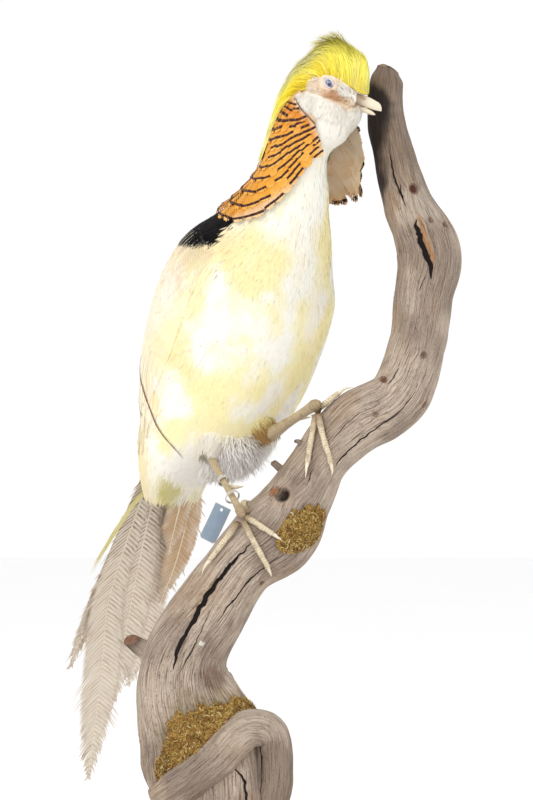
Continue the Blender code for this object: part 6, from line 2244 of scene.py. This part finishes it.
def build_moss(name, rows, thick, count, seed):
    """A bed that swells by thick in its middle, and count ribbons that curl over it in all directions."""
    round_at, up_at = np.meshgrid(np.linspace(0, 1, 70), np.linspace(0, 1, 36), indexing="ij")
    t, angle = moss_place(rows, round_at, up_at)
    swell = thick * np.sin(np.pi * up_at) ** 0.7 * np.sin(np.pi * round_at) ** 0.7
    top = branch_point(t, angle, -0.6 + swell + 1.6 * noise(branch_point(t, angle), 4.5, seed, 3))
    bottom = branch_point(t, angle, -2.6)
    grid = np.concatenate([top, bottom[:, ::-1]], axis=1)
    points, faces = tube(grid)
    tone = MOSS_TONES[3] * (0.55 + 0.9 * noise(grid, 3.0, seed + 1, 2))[..., None]
    piece_from(name + "_bed", points, faces, moss_bed, "moss", for_tube(tone), replaces=(name,))
    rng = np.random.default_rng(seed)
    around, up = rng.uniform(-0.03, 1.03, count), rng.beta(0.95, 0.95, count)
    t, angle = moss_place(rows, around, up)
    share = rng.uniform(0, 1, count)
    base = branch_point(t, angle, -0.6)
    out = unit(branch_point(t, angle, 1.0) - branch_point(t, angle, 0.0))
    first = unit(np.cross(out, rng.standard_normal((count, 3))))
    second = np.cross(out, first)
    k = 5
    m = np.linspace(0, 1, k)
    length = rng.uniform(2.2, 6.0, count)[:, None]
    curl = rng.uniform(-2.6, 2.6, count)[:, None] * m
    bed = thick * (np.sin(np.pi * np.clip(up, 0, 1)) * np.sin(np.pi * np.clip(around, 0, 1))) ** 0.7
    high = (bed + rng.uniform(-0.2, 1.6, count) * (0.4 + share))[:, None]
    rise = high + 1.4 * np.sin(np.pi * m) * rng.uniform(0.0, 1.0, (count, 1))
    rise = rise + 0.8 * rng.standard_normal((count, 1)) * m
    walk = length * (m - 0.5)
    over, beside = (walk * np.cos(curl))[..., None], (walk * np.sin(curl))[..., None]
    path = base[:, None] + rise[..., None] * out[:, None] + over * first[:, None] + beside * second[:, None]
    widths = rng.uniform(0.22, 0.55, (count, 1)) * np.interp(m, (0, .3, .8, 1), (.5, 1, .7, 0))
    tone = MOSS_TONES[rng.choice(6, count, p=MOSS_SHARES)]
    lean = np.repeat(unit(out[:, None] + 0.5 * rng.standard_normal((count, 1, 3))), k, 1)
    tones = shaded(tone, k, 0.7, 1.1, rng, 0.12)
    return locks_piece(name + "_ribbons", moss_fibre, "moss",
                       (path, lean, widths, 0.12 + 0 * share, tones, branch_ground.root(t, angle), 0.2))


for seed, (name, (rows, thick, count)) in enumerate(MOSS.items()):
    build_moss(name, rows, thick, count, 900 + seed)

# %% [markdown]
# ## Legs, toes and claws
#
# The legs are covered in horny scales: a row of broad plates down the front of the shank, small
# rounded ones behind, and narrow rings over the top of every toe. Each toe bends over the branch
# and ends in a pale, slightly curved claw. Old varnish and dust have darkened the shanks, and the
# side of shanks and toes away from the plates is darkened further with painted shade.

# %% Leg skin
SHANKS = {  # foot joint, hock
    "right": ((-1.0, -60.0, 292.0), (-27.0, 8.0, 336.0)),
    "left": ((58.0, -47.0, 375.5), (20.0, 14.0, 350.0))}
SHANK_RADII = {  # shank, foot pad, swelling at the hock
    "right": (2.9, 3.9, 0.15), "left": (4.2, 4.6, 0.55)}
TOES = {  # root and end of the last pad
    ("right", "inner"): ((4.5, -60.0, 286.0), (25.0, -62.0, 273.5)),
    ("right", "middle"): ((1.5, -62.0, 284.0), (20.5, -62.0, 248.0)),
    ("right", "outer"): ((-4.0, -61.0, 284.0), (-24.0, -57.0, 252.0)),
    ("right", "hind"): ((6.5, -54.0, 288.5), (17.0, -31.0, 290.0)),
    ("left", "inner"): ((56.0, -54.0, 371.0), (52.0, -64.0, 331.0)),
    ("left", "middle"): ((60.0, -54.0, 370.0), (71.0, -64.0, 330.0)),
    ("left", "outer"): ((63.0, -47.0, 375.0), (80.0, -44.0, 381.0)),
    ("left", "hind"): ((62.0, -40.0, 371.0), (66.0, -22.0, 357.0))}
TOE_CREAM, SHANK_BROWN = (0.78, 0.67, 0.47), (0.52, 0.41, 0.25)
# The first colour below is dust brown, and it also paints shade on the far side of shanks and toes.
DUST_AND_SHADE, CLAW_IVORY = (0.20, 0.11, 0.045), (0.80, 0.71, 0.54)


def leg_finish():
    """Scaly skin: small rounded cells pressed in between the plates, with dust in the joints."""
    finish = Finish("leg_scales", Specular_IOR_Level=0.4, Coat_Roughness=0.35)
    place = finish.place()
    cells = finish.node("TexVoronoi", {"feature": "DISTANCE_TO_EDGE"}, {"Vector": place, "Scale": 760.0})
    dust = finish.noise(place, 330.0, 4.0)
    groove = 1 - cells.above(0.0, 0.16)
    joint = finish.attribute("joint")
    tone = finish.mix(dust.above(0.45, 0.8) * 0.35, finish.attribute("tone", "Color"), (0.24, 0.15, 0.08))
    tone = finish.mix(groove * 0.3 + joint * 0.4, tone, (0.17, 0.10, 0.05))
    return finish.done(tone, 0.5 + dust * 0.25, dust * 0.5 - groove * 0.4 - joint, 0.5, 0.0005,
                       0.1 + dust * 0.1)


leg_skin = leg_finish()
claw_horn = horn_finish("claw_horn", CLAW_IVORY, (0.40, 0.30, 0.18), (90.0, 90.0, 90.0))


def sections(path, guide):
    """Two directions across a path (rows, 3): away from the guide point's side, and beside it."""
    way = unit(np.gradient(path, axis=0))
    up = unit(guide - way * dot(guide, way))
    return way, up, np.cross(way, up)


def rings_round(path, up, side, high, wide):
    """Grid of points: path + high up + wide side, with high and wide of shape (rows, sides)."""
    return path[:, None] + high[..., None] * up[:, None] + wide[..., None] * side[:, None]


def limb(name, path, radii, up_hint, plate, tone, replaces, rows=130, sides=36, flat=0.0):
    """A scaled bar: r = radius (1 + plates), where plates rise slowly over each scale and drop at its edge.

    The plates cover the side that faces up_hint. flat presses the far side in, like a toe's sole."""
    share = np.linspace(0, 1, rows)
    table = np.concatenate([path, np.asarray(radii)[:, None]], axis=1)
    found = along(table, share * (len(path) - 1))
    if np.ndim(up_hint) == 1:
        guide = np.broadcast_to(up_hint, (rows, 3))
    else:
        knots = np.linspace(0, 1, len(path))
        guide = np.stack([np.interp(share, knots, up_hint[:, i]) for i in range(3)], 1)
    way, up, side = sections(found[:, :3], guide)
    length = path_length(found[:, :3])[:, None]
    turn = full_turn(sides)[None, :]
    top = step(np.cos(turn), -0.35, 0.25)
    cycle = (length / plate + 0.12 * np.sin(turn)) % 1.0
    plates = top * (0.075 * cycle - 0.05 * step(cycle, 0.86, 1.0))
    rise = plates + 0.05 * (1 - top) * np.sin(length * 2.4 + 3 * np.cos(3 * turn))
    reach = found[:, 3:4] * (1 + rise) * (1 - flat * step(-np.cos(turn), 0.3, 1.0))
    grid = rings_round(found[:, :3], up, side, reach * np.cos(turn), reach * np.sin(turn))
    joint = top * np.maximum(step(cycle, 0.86, 0.97), step(cycle, 0.10, 0.02)) + 0 * turn
    shade = noise(grid, 4.0, 181, 2)
    # Painted shade: the side away from the plates is darkened; the blotches after it are dust.
    low = step(-np.cos(turn) + 0.6 * (shade - 0.5), 0.1, 0.8)
    colours = blend(0.75 * low, np.broadcast_to(tone, grid.shape), DUST_AND_SHADE)
    colours = blend(0.35 * step(shade, 0.55, 0.8), colours, DUST_AND_SHADE)
    points, faces = tube(grid)
    return piece_from(name, points, faces, leg_skin, "leg_skin", for_tube(colours),
                      {"joint": for_tube(joint)}, replaces=replaces)


def onto_branch(points, lift):
    """Points moved straight out from the branch's centre line to its surface, plus a lift each."""
    t = np.linspace(4.0, 12.5, 600)
    centre, side, front, half_side, half_front = branch_frame(t)
    near = np.argmin(np.linalg.norm(points[:, None] - centre[None], axis=2), axis=1)
    away = points - centre[near]
    sideways, forwards = dot(away, side[near])[:, 0], dot(away, front[near])[:, 0]
    turn = np.arctan2(sideways / half_side[near], forwards / half_front[near])
    return branch_point(t[near], np.degrees(turn), np.asarray(lift)), unit(away)


# %% Build both legs
SPUR_RADII = np.array([2.7, 2.5, 2.2, 1.8, 1.3, 0.8, 0.25])
CLAW_RADII = np.array([1.8, 1.85, 1.65, 1.3, 0.95, 0.6, 0.3, 0.12])
CLAW_LENGTH, CLAW_PLACES = 12.0, np.array([-0.12, 0.05, 0.2, 0.4, 0.6, 0.8, 1.0, 1.08])
CLAW_LIFTS = np.array([2.1, 2.4, 2.8, 3.0, 2.7, 2.0, 0.9, 0.35])


def build_foot(side):
    """Shank, the pad where the toes meet, the spur behind it, and the toes."""
    foot, hock = (np.array(p) for p in SHANKS[side])
    shank, pad, knee = SHANK_RADII[side]
    swell = [1.1, 0.92, 0.88, 0.88, 0.9 + 0.2 * knee, 0.9 + 0.6 * knee, 0.9 + knee, 0.9 + 0.8 * knee]
    line = np.linspace(foot, hock + 0.08 * (hock - foot), 8)
    limb("shank_scales_" + side, line, shank * np.array(swell), np.array((0.3, -0.9, 0.2)), 3.4, SHANK_BROWN,
         ("shank_" + side,), 220)
    ball = np.sin(np.linspace(0.12, np.pi - 0.12, 9))
    upward = unit(unit(hock - foot) * (1, 0.4, 1))
    line = foot + np.linspace(-0.9, 0.8, 9)[:, None] * 7.0 * upward
    limb("foot_pad_" + side, line, pad * ball**0.6, np.array((0.1, -1.0, 0.1)), 2.6,
         blend(0.35, SHANK_BROWN, DUST_AND_SHADE), ("foot_" + side,), 60)
    away = unit(np.array((0.75, 0.35, 0.1)))
    root = foot + (hock - foot) * 0.40
    droop = np.array((0, 0, 1.0)) * np.sin(np.linspace(0, 1.5, 7))[:, None] * 0.8
    horn_bar("spur_horn_" + side, root + away * np.linspace(2.0, 14.7, 7)[:, None] - droop, SPUR_RADII,
             ("spur_" + side,))
    for (whose, toe), (start, end) in TOES.items():
        if whose == side:
            build_toe(side, toe, np.array(start), np.array(end))


def horn_bar(name, path, radii, replaces):
    """A smooth bar with faint growth rings, pale but for its root, and with painted shade on its far side."""
    rows, sides = 42, 18
    table = np.concatenate([path, radii[:, None]], axis=1)
    share = np.linspace(0, 1, rows)
    found = along(table, share * (len(path) - 1))
    way, up, beside = sections(found[:, :3], np.broadcast_to((0.1, -1.0, 0.3), (rows, 3)))
    turn = full_turn(sides)[None, :]
    reach = found[:, 3:4] * (1 + 0.03 * np.sin(share[:, None] * 60))
    grid = rings_round(found[:, :3], up, beside, reach * np.cos(turn), 0.85 * reach * np.sin(turn))
    points, faces = tube(grid)
    # Darker at the root; the darkening of the far side is painted shade.
    wear = 0.35 + 0.65 * step(share, 0.0, 0.35)[:, None] - 0.3 * step(-np.cos(turn), 0.2, 1.0)
    return piece_from(name, points, faces, claw_horn, "horn", values={"wear": for_tube(wear)},
                      replaces=replaces)


def build_toe(side, toe, start, end):
    """The path leaves the foot joint and then lies on the branch; the claw goes on past the last pad."""
    share = np.linspace(0, 1, 11)
    radii = 2.65 - 0.65 * share
    line = start + share[:, None] * (end - start)
    path, away = onto_branch(line, radii + 0.5)
    fade = (1 - share[:, None]) ** 3
    path = path * (1 - fade) + (start + path[0]) / 2 * fade
    pads = 1 + 0.09 * np.cos(share * 2 * np.pi * (2 if toe == "hind" else 3))
    toe_base_brown = blend(0.6, SHANK_BROWN, DUST_AND_SHADE)
    tone = blend(step(np.linspace(0, 1, 110), 0.06, 0.55), toe_base_brown, TOE_CREAM)[:, None]
    limb(f"toe_scales_{side}_{toe}", path, radii * pads, away, 2.15, tone, (f"toe_{side}_{toe}",), 110, 26,
         0.12)
    ahead = unit(path[-1] - path[-3])
    tip, _ = onto_branch(path[-1] + CLAW_PLACES[:, None] * CLAW_LENGTH * ahead, CLAW_LIFTS)
    horn_bar(f"claw_horn_{side}_{toe}", tip, CLAW_RADII, (f"claw_{side}_{toe}",))


for side in SHANKS:
    build_foot(side)

# %% [markdown]
# ## Leg ring, thread and label
#
# A band of white thread is wound round the right leg, and a looser one below it holds a small
# blue-grey card. The card is bare, slightly curled, and punched where the thread goes through.

# %% Thread
def thread_finish():
    """Twisted cotton: slanted strands from the value `lay`."""
    finish = Finish("cotton_thread", Sheen_Weight=0.3)
    fuzz = finish.noise(finish.place(), 2600.0)
    strand = finish.node("Math", {"operation": "SINE"}, {0: finish.attribute("lay")})
    tone = finish.mix(strand.above(-1.0, 0.4), (0.46, 0.42, 0.36), (0.86, 0.83, 0.77))
    tone = finish.mix(fuzz * 0.3, tone, (0.5, 0.46, 0.4))
    return finish.done(tone, 0.75 + fuzz * 0.2, strand + fuzz * 0.5, 0.6, 0.0003)


thread = thread_finish()


def winding(name, share, radius, turns, pitch, thick, replaces):
    """A cord wound round the right shank: turns loops, pitch apart, then closed by its ends."""
    foot, hock = (np.array(p) for p in SHANKS["right"])
    way = unit(hock - foot)
    centre = foot + (hock - foot) * share
    first = unit(np.cross(way, (0.0, 1.0, 0.3)))
    second = np.cross(way, first)
    rows, sides = int(70 * turns), 14
    a = np.linspace(0, 2 * np.pi * turns, rows)[:, None]
    out = np.cos(a) * first + np.sin(a) * second
    middle = centre + (radius + 0.35 * np.sin(2.3 * a)) * out + pitch * (a / 2 / np.pi - turns / 2) * way
    turn = full_turn(sides)[None, :, None]
    grid = middle[:, None] + thick * (np.cos(turn) * out[:, None] + np.sin(turn) * way)
    points, faces = tube(grid)
    lay = 26.0 * a + 2 * turn[..., 0]
    return piece_from(name, points, faces, thread, "thread", values={"lay": for_tube(lay)}, replaces=replaces)


winding("ring_thread", 0.53, 4.4, 3.05, 1.0, 0.55, ("leg_ring",))
winding("loop_thread", 0.24, 5.6, 2.02, 1.1, 0.45, ("tag_loop",))

# %% Label
TAG_CENTRE, TAG_SIDES = np.array((-21.0, -42.5, 281.5)), (14.0, 31.0)
TAG_HOLE, TAG_HOLE_RADIUS = np.array((0.0, 12.0)), 1.3
TAG_TILT, TAG_YAW = math.radians(26.0), math.radians(-12.0)


def card_finish():
    """Old card: blue-grey, with fine fibres and browned edges."""
    finish = Finish("label_card", Roughness=0.8)
    fibre = finish.noise(finish.place((900.0, 900.0, 260.0)), 1.0, 4.0)
    cloud = finish.noise(finish.place(), 120.0)
    tone = finish.mix(cloud, (0.17, 0.23, 0.31), (0.25, 0.31, 0.39))
    tone = finish.mix(finish.attribute("rim") * 0.6, tone, (0.40, 0.37, 0.31))
    tone = finish.mix(fibre * 0.2, tone, (0.4, 0.45, 0.5))
    return finish.done(tone, 0.72 + fibre * 0.2, fibre, 0.3, 0.0003)


def build_tag():
    """Rings from the punched hole to the card's edge on both faces, joined over edge and hole."""
    sides, rings, half_thick = 96, 22, 0.35
    turn = full_turn(sides)
    way = np.stack([np.cos(turn), np.sin(turn)], 1)
    half = np.array(TAG_SIDES) / 2 - 0.1
    reach = np.where(way > 0, half - TAG_HOLE, half + TAG_HOLE) / np.maximum(np.abs(way), 1e-6)
    reach = np.min(reach, axis=1)
    share = np.linspace(0, 1, rings)[:, None]
    flat = TAG_HOLE + (TAG_HOLE_RADIUS + (reach - TAG_HOLE_RADIUS) * share)[..., None] * way
    rim = step(np.min(half - np.abs(flat), axis=2), 0.9, 0.0)
    face = np.stack([flat[..., 0], np.full(flat.shape[:2], half_thick), flat[..., 1]], -1)
    curl = -0.0035 * flat[..., 1] ** 2 + 0.010 * flat[..., 0] ** 2
    grid = np.concatenate([face, (face * (1, -1, 1))[::-1]])
    grid[..., 1] += np.concatenate([curl, curl[::-1]])
    cos, sin = math.cos(TAG_TILT), math.sin(TAG_TILT)
    turn_tilt = np.array(((cos, 0, sin), (0, 1, 0), (-sin, 0, cos)))
    cos, sin = math.cos(TAG_YAW), math.sin(TAG_YAW)
    turn_yaw = np.array(((cos, -sin, 0), (sin, cos, 0), (0, 0, 1)))
    points = TAG_CENTRE + grid.reshape(-1, 3) @ (turn_yaw @ turn_tilt).T
    quads = grid_faces(2 * rings + 1, sides) % (2 * rings * sides)
    a, b, c = (points[quads[:, m]] for m in (0, 1, 2))
    if np.sum(np.cross(a, b) * c) < 0:
        quads = quads[:, ::-1]
    rims = np.concatenate([rim, rim[::-1]]).ravel()
    return piece_from("label", points, quads, card_finish(), "card", values={"rim": rims},
                      replaces=("tag",), smooth=False)


build_tag()

# %% [markdown]
# ## The board
#
# The branch is fixed to an oval board of plain hardwood, with a rounded upper edge and growth
# lines along its length.

# %% Stand
def board_finish():
    """Growth lines: rings round a line far below the board, stretched along X."""
    finish = Finish("board_wood", Specular_IOR_Level=0.4, Coat_Roughness=0.3)
    warp = finish.noise(finish.place((6.0, 20.0, 20.0)), 1.0, 3.0)
    ring = finish.node("TexWave", {"wave_type": "BANDS", "bands_direction": "Y"},
                       {"Vector": finish.place((0.4, 9.0, 6.0)), "Scale": 2.2, "Distortion": 5.0,
                        "Detail": 3.0})
    pores = finish.noise(finish.place((60.0, 1500.0, 900.0)), 1.0, 3.0)
    tone = finish.mix(ring * 0.6 + warp * 0.5, (0.42, 0.25, 0.12), (0.22, 0.115, 0.05))
    tone = finish.mix(pores.above(0.55, 0.72) * 0.6, tone, (0.09, 0.045, 0.02))
    return finish.done(tone, 0.35 + pores * 0.3, ring * 0.3 - pores, 0.25, 0.0004, 0.2 + warp * 0.2)


BOARD_HALF_X, BOARD_HALF_Y, BOARD_THICK, BOARD_BEVEL = 128.0, 104.0, 20.0, 3.0


def build_board():
    """Rings of an ellipse: in from under the board, up the side, over its edge and across the top."""
    arc = np.linspace(0, np.pi / 2, 9)
    inset = np.concatenate([np.linspace(90, 0.4, 8), [0.1, 0.0, 0.0], BOARD_BEVEL * (1 - np.cos(arc)),
                            np.linspace(5, 96, 14)])
    edge = BOARD_THICK - BOARD_BEVEL + BOARD_BEVEL * np.sin(arc)
    height = np.concatenate([np.zeros(8), [0.1, 0.6, 9.0], edge, np.full(14, BOARD_THICK)])
    turn = full_turn(160)[None, :]
    grid = np.stack([(BOARD_HALF_X - inset)[:, None] * np.cos(turn),
                     (BOARD_HALF_Y - inset)[:, None] * np.sin(turn), height[:, None] + 0 * turn], -1)
    points, faces = tube(grid)
    return piece_from("board", points, faces, board_finish(), "stand_wood", replaces=("stand_base",))


build_board()


# %% Sizes and finish
print("triangles in all:", sum(pieces_made.values()))
